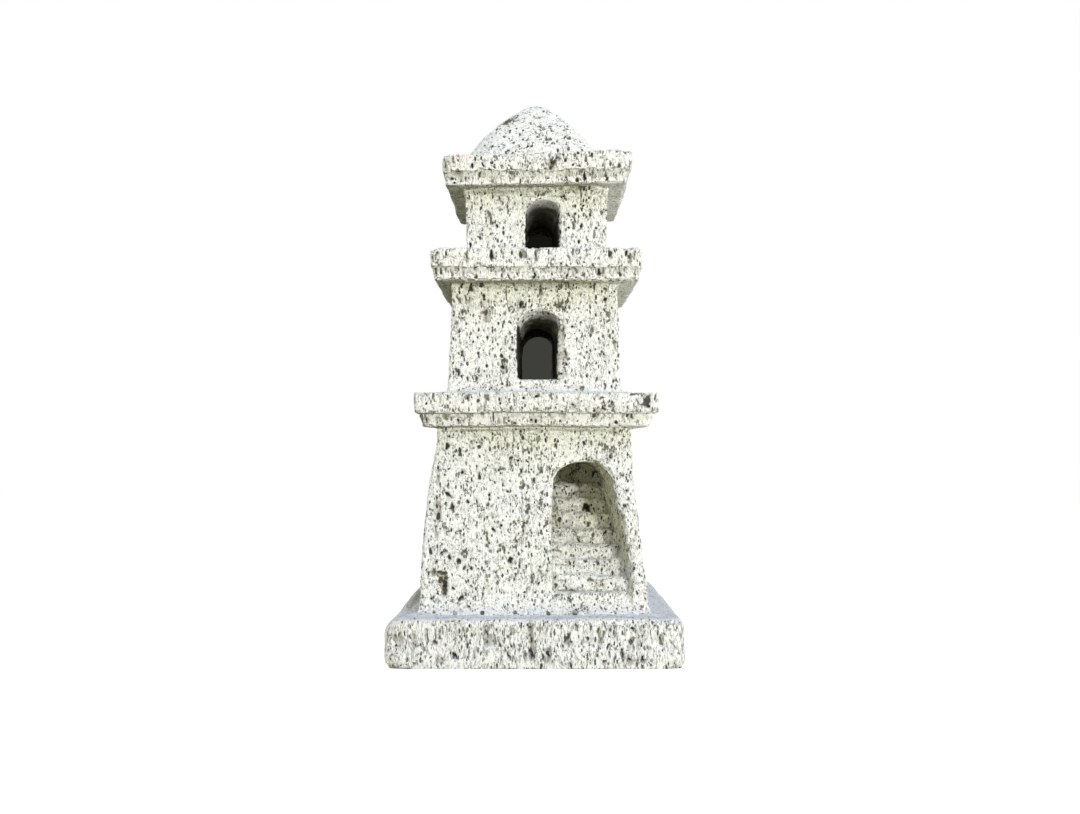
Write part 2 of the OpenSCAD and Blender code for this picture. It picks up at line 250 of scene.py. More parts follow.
class Stone:
    """A stone's dense surface with what is carved into it."""

    def __init__(self, node, voxel, seed):
        self.node = node
        mesh = dense_mesh(node, voxel)
        mesh = thin_out(mesh, covered_part(node, take(mesh)), 0.08)
        self.mesh = mesh
        self.p = take(mesh)
        n = len(self.p)
        normals = np.empty(n * 3, np.float32)
        mesh.vertices.foreach_get("normal", normals)
        edges = np.empty(len(mesh.edges) * 2, np.int32)
        mesh.edges.foreach_get("vertices", edges)
        self.e = edges.reshape(-1, 2)
        self.degree = np.bincount(self.e.ravel(), minlength=n).astype(float)
        self.degree[self.degree == 0] = 1
        self.n = self.unit(self.smooth(normals.reshape(-1, 3).astype(float), 3))
        self.hidden = covered_part(node, self.p)
        self.depth = np.zeros(n)
        self.pore = np.full(n, -1.0)
        self.tone = np.full(n, 0.3)
        self.stain_and_shade = np.zeros(n)
        self.hue = np.zeros(n)
        self.tunnel_shade = np.zeros(n)
        self.shade_tint = np.zeros(n)
        self.rng = np.random.default_rng(1000 + seed)
        self.jag = noise(self.p, 0.55, 5 + seed)
        self.lump = noise(self.p, 1.25, 25 + seed)
        self.tree = kdtree.KDTree(n)
        for i, c in enumerate(self.p.tolist()):
            self.tree.insert(c, i)
        self.tree.balance()
        soft = self.smooth(self.p, 12)
        self.pull = soft - self.p
        self.edge = -(self.pull * self.n).sum(1)

    @staticmethod
    def unit(v):
        return v / np.maximum(np.linalg.norm(v, axis=1, keepdims=True), 1e-9)

    def smooth(self, v, times):
        v = v.copy()
        a, b = self.e[:, 0], self.e[:, 1]
        n = len(v)
        for _ in range(times):
            for k in range(v.shape[1]):
                col = v[:, k]
                s = np.bincount(a, col[b], n) + np.bincount(b, col[a], n)
                v[:, k] = 0.5 * col + 0.5 * s / self.degree
        return v

    def near(self, c, reach):
        return np.array([i for _, i, _ in self.tree.find_range(Vector(c), reach)], int)

    def dent(self, c, r, depth, tone=None, turn=0.0, ring=False, steep=0.8, weak=0.0):
        """A hollow at c with half sizes r. tone colours it, and None leaves it stone-coloured."""
        i = self.near(c, max(r) * (1.9 if ring else 1.5))
        if not len(i):
            return
        d = self.p[i] - np.asarray(c)
        if turn:
            s, k = math.sin(turn), math.cos(turn)
            d = np.stack([d[:, 0] * k - d[:, 2] * s, d[:, 1], d[:, 0] * s + d[:, 2] * k], 1)
        big = min(1.0, max(r) / 0.9)
        q = np.sqrt(((d / np.asarray(r)) ** 2).sum(1)) * (1 + 0.42 * self.jag[i] + 0.42 * big * self.lump[i])
        if ring:
            q = np.abs(q - 1.0) / 0.15
        dep = depth * np.clip(1 - q * q, 0, 1) ** steep
        self.depth[i] = np.maximum(self.depth[i], dep)
        if tone is not None:
            f = 1 - q - weak
            new = f > self.pore[i]
            self.pore[i[new]] = f[new]
            near = new & (f > -0.6)
            self.tone[i[near]] = tone

    def tint(self, c, r, amount, hue):
        i = self.near(c, max(r) * 1.4)
        if len(i):
            d = (self.p[i] - np.asarray(c)) / np.asarray(r)
            f = amount * np.clip(1.25 - np.sqrt((d * d).sum(1)) * (1 + 0.3 * self.jag[i]), 0, 1)
            new = f > self.stain_and_shade[i]
            self.stain_and_shade[i[new]] = f[new]
            self.hue[i[new]] = hue

    def scatter_pores(self, per_mm2, size, tall):
        """Small pores all over, drawn out along the stone's grain, which stands upright."""
        open_ = np.nonzero(~self.hidden)[0]
        area = self.visible_area(open_)
        count = int(per_mm2 * area)
        picks = self.rng.choice(open_, count, replace=False)
        patch = noise(self.p[picks], 9.0, 71)
        picks = picks[self.rng.random(count) < 0.78 + 0.5 * patch]
        for i in picks:
            r = size * math.exp(0.30 * self.rng.standard_normal())
            if self.rng.random() < 0.06:
                r = 0.42 * math.exp(0.22 * self.rng.standard_normal())
            r = min(r, 0.65)
            up = abs(self.n[i, 2])
            e = 1.0 if up > 0.7 else 1.1 + abs(self.rng.standard_normal()) * tall
            t = self.rng.random()
            if t < 0.66:
                tone = 0.28 * self.rng.random()
            elif t < 0.86:
                tone = 0.34 + 0.12 * self.rng.random()
            else:
                tone = 0.7 if t < 0.90 else 0.85
            lean = 0.32 * self.rng.standard_normal() if up < 0.7 and abs(self.n[i, 1]) > 0.7 else 0.0
            c = self.p[i]
            self.dent(c, (r * 0.85, r * 0.85, r * e), min(0.9, 0.35 + 0.9 * r), tone, lean)
            if up < 0.7 and self.rng.random() < 0.10:
                # a faint tail along the grain
                long = r * self.rng.uniform(2.0, 4.0)
                tail = c + np.array([0.0, 0.0, self.rng.choice([-1, 1]) * long * 0.75])
                self.dent(tail, (0.6 * r, 0.8, long), 0.15, 1.0, lean * 0.4, weak=0.25)
            if self.rng.random() < 0.16:
                # a smaller neighbour that runs into it
                step = self.rng.normal(0, 1.0, 3) * np.array([0.9, 0.9, 1.3]) * r
                self.dent(c + step, (0.7 * r, 0.7 * r, 0.8 * r * e), 0.3, tone, lean)

    def visible_area(self, picked):
        m = self.mesh
        areas = np.empty(len(m.polygons), np.float32)
        m.polygons.foreach_get("area", areas)
        loops = np.empty(len(m.loops), np.int32)
        m.loops.foreach_get("vertex_index", loops)
        starts = np.empty(len(m.polygons), np.int32)
        m.polygons.foreach_get("loop_start", starts)
        return float(areas[~self.hidden[loops[starts]]].sum()) * 1e6

    def scatter_hollows(self, per_mm2):
        """Larger hollows, upright grooves and chips on the edges."""
        open_ = np.nonzero(~self.hidden)[0]
        area = self.visible_area(open_)
        for i in self.rng.choice(open_, max(2, int(per_mm2 * area)), replace=False):
            if self.front_face(i):
                continue
            r = self.rng.uniform(0.40, 0.80)
            up = abs(self.n[i, 2]) > 0.7
            tall = r * (1.0 if up else self.rng.uniform(1.0, 2.2))
            kind = self.rng.random()
            if kind < 0.55:
                self.dent(self.p[i], (r * 0.8, r * 0.8, tall), 0.45 + 0.45 * r, 0.2 * self.rng.random())
            else:
                hue = self.rng.choice([0.1, 0.3, 0.5])
                self.dent(self.p[i], (r * 1.3, r * 1.3, tall * 1.6), 0.5 + 0.3 * r, None)
                self.tint(self.p[i], (r * 1.2, r * 1.2, tall * 1.5), 0.8, hue)
                self.dent(self.p[i] + np.array([0, 0, 0.3 * tall]), (r * 0.5, r * 0.5, tall * 0.5), 0.6, 0.42)
        for i in self.rng.choice(open_, max(1, int(per_mm2 * 0.5 * area)), replace=False):
            if self.front_face(i) or abs(self.n[i, 2]) > 0.6:
                continue
            self.dent(self.p[i], (0.34, 0.34, self.rng.uniform(1.2, 3.0)), 0.4, self.rng.choice([0.35, 0.45, 0.55]), 0.12 * self.rng.standard_normal(), weak=0.12)
        corner = np.nonzero((self.edge > 0.10) & ~self.hidden)[0]
        if len(corner):
            for i in self.rng.choice(corner, min(len(corner), max(6, int(len(corner) / 95))), replace=False):
                r = self.rng.uniform(0.5, 1.5)
                self.dent(self.p[i], (r, r, r * self.rng.uniform(0.6, 1.3)), self.rng.uniform(0.25, 0.75), None)

    def front_face(self, i):
        return self.n[i, 1] < -0.6

    def shape(self, style):
        """The final surface: wear, grain, hollows and the unevenness of the whole stack."""
        p, n, z = self.p, self.n, self.p[:, 2]
        r = np.maximum(np.abs(p[:, 0]), np.abs(p[:, 1]))
        wear = 0.45 + 0.5 * ramp(noise(p, 6.0, 31), -0.4, 0.7)
        upright = 1 - ramp(np.abs(n[:, 2]), 0.35, 0.8)
        fibre = noise(p, (1.0, 1.0, 5.5), 41) + 0.6 * noise(p, (0.62, 0.62, 2.6), 42)
        self.streak = np.clip(ramp(fibre, 0.25, 1.1) * upright, 0, 1)
        rough = 0.10 * np.abs(noise(p, 1.5, 43)) + 0.12 * ramp(noise(p, 4.2, 44), 0.0, 0.9)
        crumb = noise(p, (0.78, 0.78, 1.5), 61) + 0.55 * noise(p, (0.44, 0.44, 0.8), 62) + 0.22 * noise(p, 5.0, 63)
        self.pit = ramp(crumb, 0.38, 0.95)
        inward = rough + style["grain"] * self.streak + 0.26 * self.pit + self.depth
        # bites out of the edges
        sharp = ramp(self.edge, 0.05, 0.22)
        bite = 0.55 * ramp(noise(p, 2.6, 45), 0.10, 0.75) + 0.40 * ramp(noise(p, 1.1, 46), 0.05, 0.75)
        bite += 0.40 * ramp(fibre, 0.15, 1.0) * (1 - 0.5 * upright)
        bite *= style["ragged"]
        pull = self.pull
        # the narrower stone of every joint carries a lip that closes it, and the
        # stones' edges run into each other in small coves
        lift = np.zeros(len(p))
        flare = np.zeros(len(p))
        keep = np.ones(len(p))
        if self.node in STOREYS:
            s = STOREYS[self.node]
            t = np.clip((z - s["z0"]) / (s["z1"] - s["z0"]), 0, 1)
            half = (s["foot"] + (s["head"] - s["foot"]) * t) / 2
            rim = r > half - 0.95
            keep = np.where(rim, ramp(z - s["z0"], 0.3, 2.2) * ramp(s["z1"] - z, 0.3, 1.8), 1.0)
            lift[rim & (z < s["z0"] + 0.3)] = -0.75
            lift[rim & (z > s["z1"] - 0.3)] = 0.95
            low = np.clip(1 - (z - s["z0"]) / s["reach"], 0, 1)
            high = np.clip(1 - (s["z1"] - z) / 3.2, 0, 1)
            flare += s["flare"] * (1 - np.sqrt(1 - low * low)) + 1.0 * (z < s["z0"] + 0.3)
            flare += s["cove"] * (1 - np.sqrt(1 - high * high)) + 0.6 * (z > s["z1"] - 0.3)
            inner = np.minimum(np.abs(p[:, 0]), np.abs(p[:, 1])) / half
            flank = np.abs(p[:, 0]) > np.abs(p[:, 1])
            flare *= np.where(flank, 0.32, np.where(p[:, 1] < 0, 1.0, 0.6))
            flare *= ramp(r, half - 0.95, half - 0.15) * (1 - 0.72 * ramp(inner, 0.80, 0.99))
            if self.node == "lower_storey":
                # the niche: soft right side, and its left and lower edges run into the flight
                wide = self.smooth(p, 140) - p
                soft = hump(p[:, 0], 13.0, 18.0, 27.0, 29.0) * hump(z, 17.0, 23.0, 47.0, 52.0) * (p[:, 1] < -12.0)
                soft = np.maximum(soft, hump(p[:, 0], 0.0, 1.5, 7.0, 9.0) * hump(z, 15.0, 20.0, 40.0, 47.0) * (p[:, 1] < -21.0))
                pull = pull + (wide - pull) * soft[:, None]
                tight = hump(p[:, 0], 1.0, 3.0, 24.0, 26.0) * hump(z, 14.0, 16.2, 18.5, 20.5)
                keep = keep * (1 - tight * (p[:, 1] < -18.0))
        elif self.node.endswith("_band"):
            s = SLABS[self.node]
            half = np.full(len(p), s["w"] / 2)
            rim = (r > s["w"] / 2 - 0.95) & (z > s["z1"] - 0.3)
            lift[rim] = 0.95
            keep = np.where(r > s["w"] / 2 - 0.95, ramp(s["z1"] - z, 0.25, 1.1), 1.0)
            flare += s["cove"] * np.clip(1 - (s["z1"] - z) / s.get("sweep", 1.2), 0, 1) ** 2 * ramp(r, half - 0.95, half - 0.15)
        elif self.node == "dome_cap":
            rim = (r > 15.0) & (z < DOME_Z + 0.3)
            lift[rim] = -0.70
            keep = ramp(z - DOME_Z, 0.3, 1.6)
        elif self.node == "stair_flight":
            lo, hi = p.min(0), p.max(0)
            lift[z < lo[2] + 0.25] = -0.60
            pull = self.smooth(p, 34) - p
            keep = ramp(z - lo[2], 0.3, 2.0) * np.where(p[:, 0] < lo[0] + 1.2, ramp(z, 26.0, 36.0), 1.0)
            lumps = 0.78 * noise(p, (2.6, 2.6, 1.8), 48) + 0.36 * noise(p, 1.1, 49)
            inward = inward + lumps * ramp(-n[:, 1] + 0.6 * n[:, 2], 0.3, 0.9) * ramp(z, 18.5, 21.0)
        swell = np.zeros(len(p))
        if self.node in SLABS:
            # wider rounding on the lower edges and on the corners
            s = SLABS[self.node]
            wide = self.smooth(p, 40) - p
            low = ramp((s["z0"] + s["z1"]) / 2 - z, -0.3, 0.9) if self.node != "plinth" else 0.0
            turn = ramp(np.minimum(np.abs(p[:, 0]), np.abs(p[:, 1])), s["w"] / 2 - 3.0, s["w"] / 2 - 1.2)
            pull = pull + (wide - pull) * np.maximum(1.25 * low, turn)[:, None]
            if not self.node.endswith("_band"):
                # the ledge rises to the foot of the storey that stands on it
                foot = s["above"] / 2 + s["foot"]
                swell = 0.5 * np.clip(1 - (r - foot) / 2.4, 0, 1) ** 2 * ramp(n[:, 2], 0.6, 0.9) * (r > s["above"] / 2 - 1.2)
            raised = dict(lower_cornice_slab=(0.35, 0.0), middle_cornice_slab=(0.75, 0.0), upper_cornice_slab=(0.30, 0.30)).get(self.node)
            if raised:
                swell = swell + (raised[0] + raised[1] * p[:, 0] / 24.0) * ramp(z, s["z1"] - 2.0, s["z1"] - 0.3)
        if self.node == "plinth":
            gap = 2.6 - np.sqrt(np.maximum(2.6**2 - np.clip(2.6 - z, 0, 2.6) ** 2, 0))
            fill = 0.92 * gap * ramp(-p[:, 1], 29.5, 33.9) * (1 - ramp(np.abs(p[:, 0]), 29.5, 36.0))
            over = 2.6 - np.sqrt(np.maximum(2.6**2 - np.clip(z - 9.6, 0, 2.6) ** 2, 0))
            fill = fill + 0.62 * over * ramp(-p[:, 1], 33.0, 34.6) * (1 - ramp(np.abs(p[:, 0]), 31.0, 35.5))
            keep = ramp(z, 0.4, 2.2)
            inward = inward * (0.25 + 0.75 * ramp(z, 0.2, 1.4))
        out = p + pull * (wear * keep)[:, None]
        out -= n * (np.where(self.hidden, 0.0, inward + bite * sharp * keep))[:, None]
        if self.node in STOREYS or self.node.endswith("_band"):
            away = np.maximum(np.abs(p[:, :2]) - (half - 2.0)[:, None], 0) * np.sign(p[:, :2])
            out[:, :2] += self.unit(away) * flare[:, None]
        out[:, 2] += lift + swell
        if self.node == "plinth":
            out[:, 1] -= fill
        if self.node == "stair_flight":
            # the flight meets the niche's sides
            flank = ramp(np.abs(n[:, 0]), 0.6, 0.9)
            out[:, 0] += np.sign(n[:, 0]) * flank * 0.80
            jitter = 0.55 * noise(p, (2.2, 5.0, 5.0), 51) + 0.34 * noise(p, (0.8, 3.0, 3.0), 52)
            out[:, 2] += jitter * ramp(z, lo[2] + 1.5, lo[2] + 3.5)
        if self.node in WINDOWS:
            w = WINDOWS[self.node]
            face = -(STOREYS[self.node]["foot"] + (STOREYS[self.node]["head"] - STOREYS[self.node]["foot"]) * t) / 2
            front = p[:, 1] - face
            inside = (np.abs(p[:, 0] - w["x"]) < w["w"] / 2 + 0.7) & (z > w["z0"] - 0.6) & (z < w["z1"] + 0.6)
            deep = np.minimum(front, -face - p[:, 1])
            # the right reveal stands in behind a worn chamfer
            right = inside * np.clip(-n[:, 0], 0, 1) * (p[:, 0] > w["x"])
            right = right * (1 - ramp(z, w["z1"] - w["w"] / 2 - 1.0, w["z1"] - 1.0))
            out[:, 0] -= w["in"] * right * ramp(front, 0.1, 1.5) * (1 - 0.55 * ramp(front, 8.0, 40.0))
            spring = w["z1"] - w["w"] / 2
            ax, az = p[:, 0] - w["x"], np.maximum(z - spring, 0)
            far = np.maximum(np.hypot(ax, az), 1e-6)
            push = w["full"] * inside * (z > spring) * (2 * np.abs(ax) * az / far**2) ** 1.5 * (1 - ramp(front, 5.0, 12.0))
            out[:, 0] += push * ax / far
            out[:, 2] += push * az / far
            # the crown comes down behind a worn front edge, and the tunnel's walls are uneven
            over = inside * ramp(z, spring - 0.5, spring + 2.0)
            out[:, 2] -= w["drop"] * over * ramp(front, 0.3, 5.5)
            hewn = 0.34 * noise(p, (3.0, 3.4, 3.0), 55) + 0.18 * noise(p, 1.3, 56)
            out -= n * (hewn * inside * ramp(deep, 0.8, 2.5))[:, None]
            # painted shade inside the windows: the tunnel walls darken inward from the mouth, the crown later than the
            # sides, and the far rim is painted near-black so that no back light shows on it
            crown = n[:, 2] < -0.35
            start = np.where(crown, w["shade_free"], 0.0)
            end = np.where(crown, w["shade_free"] + 5.0, 0.9)
            bevel = ~crown & (n[:, 0] < -0.4)
            start, end = np.where(bevel, w["bevel"], start), np.where(bevel, w["bevel"] + 0.7, end)
            shade_free = inside * crown * (1 - ramp(front, 4.0, 9.0))
            s1 = np.clip((deep + 0.5 * self.jag - start) / (end - start), 0, 1)
            s1 = np.where(front > 20.0, np.clip(deep / 0.8, 0, 1), s1)
            self.tunnel_shade = np.where(inside & (deep > 0.1), np.where(crown, w["tunnel_shade"], 1.25) * s1 * s1 * (3 - 2 * s1), 0.0)
            rim = (np.where(z > spring, far, np.abs(ax)) < w["w"] / 2 + 0.22) & (z > w["z0"] - 0.2)
            self.tunnel_shade = np.where(rim, np.maximum(self.tunnel_shade, 1.3 * ramp(front, 10.0, 30.0) + 0.4 * ramp(-face - p[:, 1], 5.0, 1.5)), self.tunnel_shade)
        if self.node in STOREYS:
            s = STOREYS[self.node]
            # painted shade: an olive-cream tint that grows towards each wall's head, under the cornice, where the wall
            # lies in shade
            top = ramp(z, s["z1"] - s["shade_reach"], s["z1"] - 1.0)
            self.shade_tint = np.clip(top * (0.55 + 0.45 * noise(p, (2.2, 2.2, 6.0), 47)), 0, 1)
            if self.node in WINDOWS:
                # the windows' crown mouths get a negative value, which keeps the painted underside shade off them
                self.shade_tint = np.where(shade_free > 0.05, -shade_free, self.shade_tint)
            if self.node == "lower_storey":
                jamb = (r < half - 0.6) & (z > 16.5) & (n[:, 0] < -0.2)
                out -= n * (jamb * (0.38 * noise(p, (3.0, 3.0, 2.2), 53) + 0.22 * noise(p, 1.2, 54)))[:, None]
                # painted shade in the niche, stronger higher up
                in_niche = (r < half - 0.9) * (z > 16.6) * (0.6 + 0.9 * ramp(z, 22.0, 28.0))
                self.shade_tint = np.maximum(self.shade_tint, in_niche)
                shoulder = hump(z, 36.0, 40.5, 46.8, 50.0) * hump(p[:, 0], 11.0, 18.0, 23.5, 28.5)
                out[:, 0] -= 0.95 * shoulder * (p[:, 1] < -8.0)
        if self.node == "stair_flight":
            # painted shadow on the right of the flight's upper steps, which the niche's right jamb shades
            self.shade_tint = 1.4 * ramp(z, 26.0, 38.0) * ramp(p[:, 0], 10.5, 14.5)
        if self.node.endswith("_band"):
            # painted shade in the crevice under the slab's overhang
            reach, dark = dict(lower_cornice_band=(1.2, 0.22), middle_cornice_band=(1.4, 0.46)).get(self.node, (2.0, 0.52))
            crevice_shade = dark * ramp(z, s["z1"] - reach, s["z1"] - 0.3) * (r > half - 1.3) * (0.62 + 0.38 * noise(p, (2.0, 2.0, 2.0), 57))
            self.hue = np.where(crevice_shade > self.stain_and_shade, 0.05, self.hue)
            self.stain_and_shade = np.maximum(self.stain_and_shade, crevice_shade)
        out = uneven(out)
        if self.node == "plinth":
            out[:, 2] = np.where(z < 0.45, 0.0, np.maximum(out[:, 2], 0.0))
        self.final = out
        return out

    def finish(self, name, material, style):
        mesh = self.mesh
        self.lay_out_uv()
        self.shape(style)
        mesh.vertices.foreach_set("co", (self.final / 1000.0).astype(np.float32).ravel())
        for key, values in (
            ("pore", self.pore), ("tone", self.tone), ("streak", self.streak),
            ("edge", np.clip(self.edge / 0.35, -1, 1)), ("stain_and_shade", self.stain_and_shade), ("hue", self.hue),
            ("tunnel_shade", self.tunnel_shade), ("shade_tint", self.shade_tint), ("pit", self.pit),
        ):
            a = mesh.attributes.new(key, "FLOAT", "POINT")
            a.data.foreach_set("value", values.astype(np.float32))
        smooth = np.ones(len(mesh.polygons), bool)
        if self.node == "plinth":
            loops = np.empty(len(mesh.loops), np.int32)
            mesh.loops.foreach_get("vertex_index", loops)
            starts = np.empty(len(mesh.polygons), np.int32)
            mesh.polygons.foreach_get("loop_start", starts)
            smooth = np.maximum.reduceat(self.final[loops, 2], starts) > 0.01
        mesh.polygons.foreach_set("use_smooth", smooth)
        mesh.materials.clear()
        mesh.materials.append(material)
        mesh.update()
        mesh.name = name
        ob = bpy.data.objects.new(name, mesh)
        COLLECTION.objects.link(ob)
        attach(ob, "root")
        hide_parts(self.node)
        return ob

    def lay_out_uv(self):
        """Box layout: six outer and six inner sides, each in a rectangle of its own."""
        m = self.mesh
        loops = np.empty(len(m.loops), np.int32)
        m.loops.foreach_get("vertex_index", loops)
        count = len(m.polygons)
        starts = np.empty(count, np.int32)
        totals = np.empty(count, np.int32)
        m.polygons.foreach_get("loop_start", starts)
        m.polygons.foreach_get("loop_total", totals)
        fn = np.add.reduceat(self.n[loops], starts, axis=0)
        fc = np.add.reduceat(self.p[loops], starts, axis=0) / totals[:, None]
        axis = np.argmax(np.abs(fn), axis=1)
        side = axis * 2 + (fn[np.arange(count), axis] < 0)
        if self.node in STOREYS:
            s = STOREYS[self.node]
            t = np.clip((fc[:, 2] - s["z0"]) / (s["z1"] - s["z0"]), 0, 1)
            half = (s["foot"] + (s["head"] - s["foot"]) * t) / 2
            inner = (np.maximum(np.abs(fc[:, 0]), np.abs(fc[:, 1])) < half - 0.8) & (
                (fc[:, 2] > s["z0"] + 0.3) & (fc[:, 2] < s["z1"] - 0.3)
            )
        elif self.node in SLABS:
            inner = np.hypot(fc[:, 0], fc[:, 1]) < 12.0
        else:
            inner = np.zeros(count, bool)
        side = side + 6 * inner
        covered = np.add.reduceat(self.hidden[loops].astype(float), starts) / totals
        loop_side = np.repeat(side, totals)
        flat = {0: (1, 2), 1: (0, 2), 2: (0, 1)}
        rects = []
        for g in np.unique(side):
            sel = loop_side == g
            u, v = flat[(g % 6) // 2]
            q = self.p[loops[sel]][:, (u, v)]
            lo, hi = q.min(0), q.max(0)
            scale = 0.25 if covered[side == g].mean() > 0.6 else 1.0
            rects.append([g, sel, q, lo, np.maximum(hi - lo, 0.4) * scale, scale])
        rects.sort(key=lambda k: -k[4][1])
        low, high = 10.0, 800.0
        gap = 0.006
        best = None
        for _ in range(26):
            width = (low + high) / 2
            placed, x, y, row, fits = [], gap, gap, 0.0, True
            for k in rects:
                w, h = k[4] / width
                if x + w + gap > 1:
                    x, y, row = gap, y + row + gap, 0.0
                if w + 2 * gap > 1 or y + h + gap > 1:
                    fits = False
                    break
                placed.append((x, y))
                x += w + gap
                row = max(row, h)
            if fits:
                best, high = (width, placed), width
            else:
                low = width
        width, placed = best
        uv = np.zeros((len(loops), 2), np.float32)
        for k, (x, y) in zip(rects, placed):
            uv[k[1]] = (k[2] - k[3]) * k[5] / width + (x, y)
        layer = m.uv_layers.new(name="OFBake")
        layer.data.foreach_set("uv", uv.ravel())


# ---------------------------------------------------------------------------
# Shader helpers.
# ---------------------------------------------------------------------------
class Graph:
    def __init__(self, tree):
        self.tree = tree

    def add(self, kind, inputs=None, **props):
        node = self.tree.nodes.new(kind)
        for k, v in props.items():
            setattr(node, k, v)
        for k, v in (inputs or {}).items():
            self.feed(node.inputs[k], v)
        return node

    def feed(self, socket, value):
        if isinstance(value, bpy.types.NodeSocket):
            self.tree.links.new(value, socket)
        else:
            socket.default_value = value

    def math(self, op, a, b=0.0, c=None, clamp=False):
        node = self.add("ShaderNodeMath", {0: a, 1: b}, operation=op, use_clamp=clamp)
        if c is not None:
            self.feed(node.inputs[2], c)
        return node.outputs[0]

    def range(self, x, a, b, c=0.0, d=1.0, smooth=True):
        node = self.add(
            "ShaderNodeMapRange",
            {"Value": x, "From Min": a, "From Max": b, "To Min": c, "To Max": d},
            interpolation_type="SMOOTHSTEP" if smooth else "LINEAR", clamp=True,
        )
        return node.outputs["Result"]

    def mix(self, fac, a, b, blend="MIX"):
        node = self.add("ShaderNodeMix", data_type="RGBA", blend_type=blend)
        node.clamp_factor = True
        self.feed(node.inputs[0], fac)
        self.feed(node.inputs[6], a)
        self.feed(node.inputs[7], b)
        return node.outputs[2]

    def attr(self, name):
        return self.add("ShaderNodeAttribute", attribute_name=name).outputs["Fac"]

    def stretch(self, vector, scale):
        return self.add("ShaderNodeVectorMath", {0: vector, 1: scale}, operation="MULTIPLY").outputs[0]

    def noise(self, vector, scale, detail=3.0, rough=0.55, distort=0.0):
        return self.add(
            "ShaderNodeTexNoise",
            {"Vector": vector, "Scale": scale, "Detail": detail, "Roughness": rough, "Distortion": distort},
        ).outputs["Fac"]

    def cells(self, vector, scale):
        node = self.add("ShaderNodeTexVoronoi", {"Vector": vector, "Scale": scale, "Randomness": 1.0}, feature="F1")
        rgb = self.add("ShaderNodeSeparateColor", {"Color": node.outputs["Color"]})
        return node.outputs["Distance"], rgb.outputs[0], rgb.outputs[1]

    def ramp(self, fac, stops):
        node = self.add("ShaderNodeValToRGB", {"Fac": fac})
        ramp_ = node.color_ramp
        while len(ramp_.elements) < len(stops):
            ramp_.elements.new(0.5)
        for e, (at, colour) in zip(ramp_.elements, stops):
            e.position, e.color = at, (*colour, 1.0)
        return node.outputs["Color"]


def rgba(r, g, b):
    return (r, g, b, 1.0)


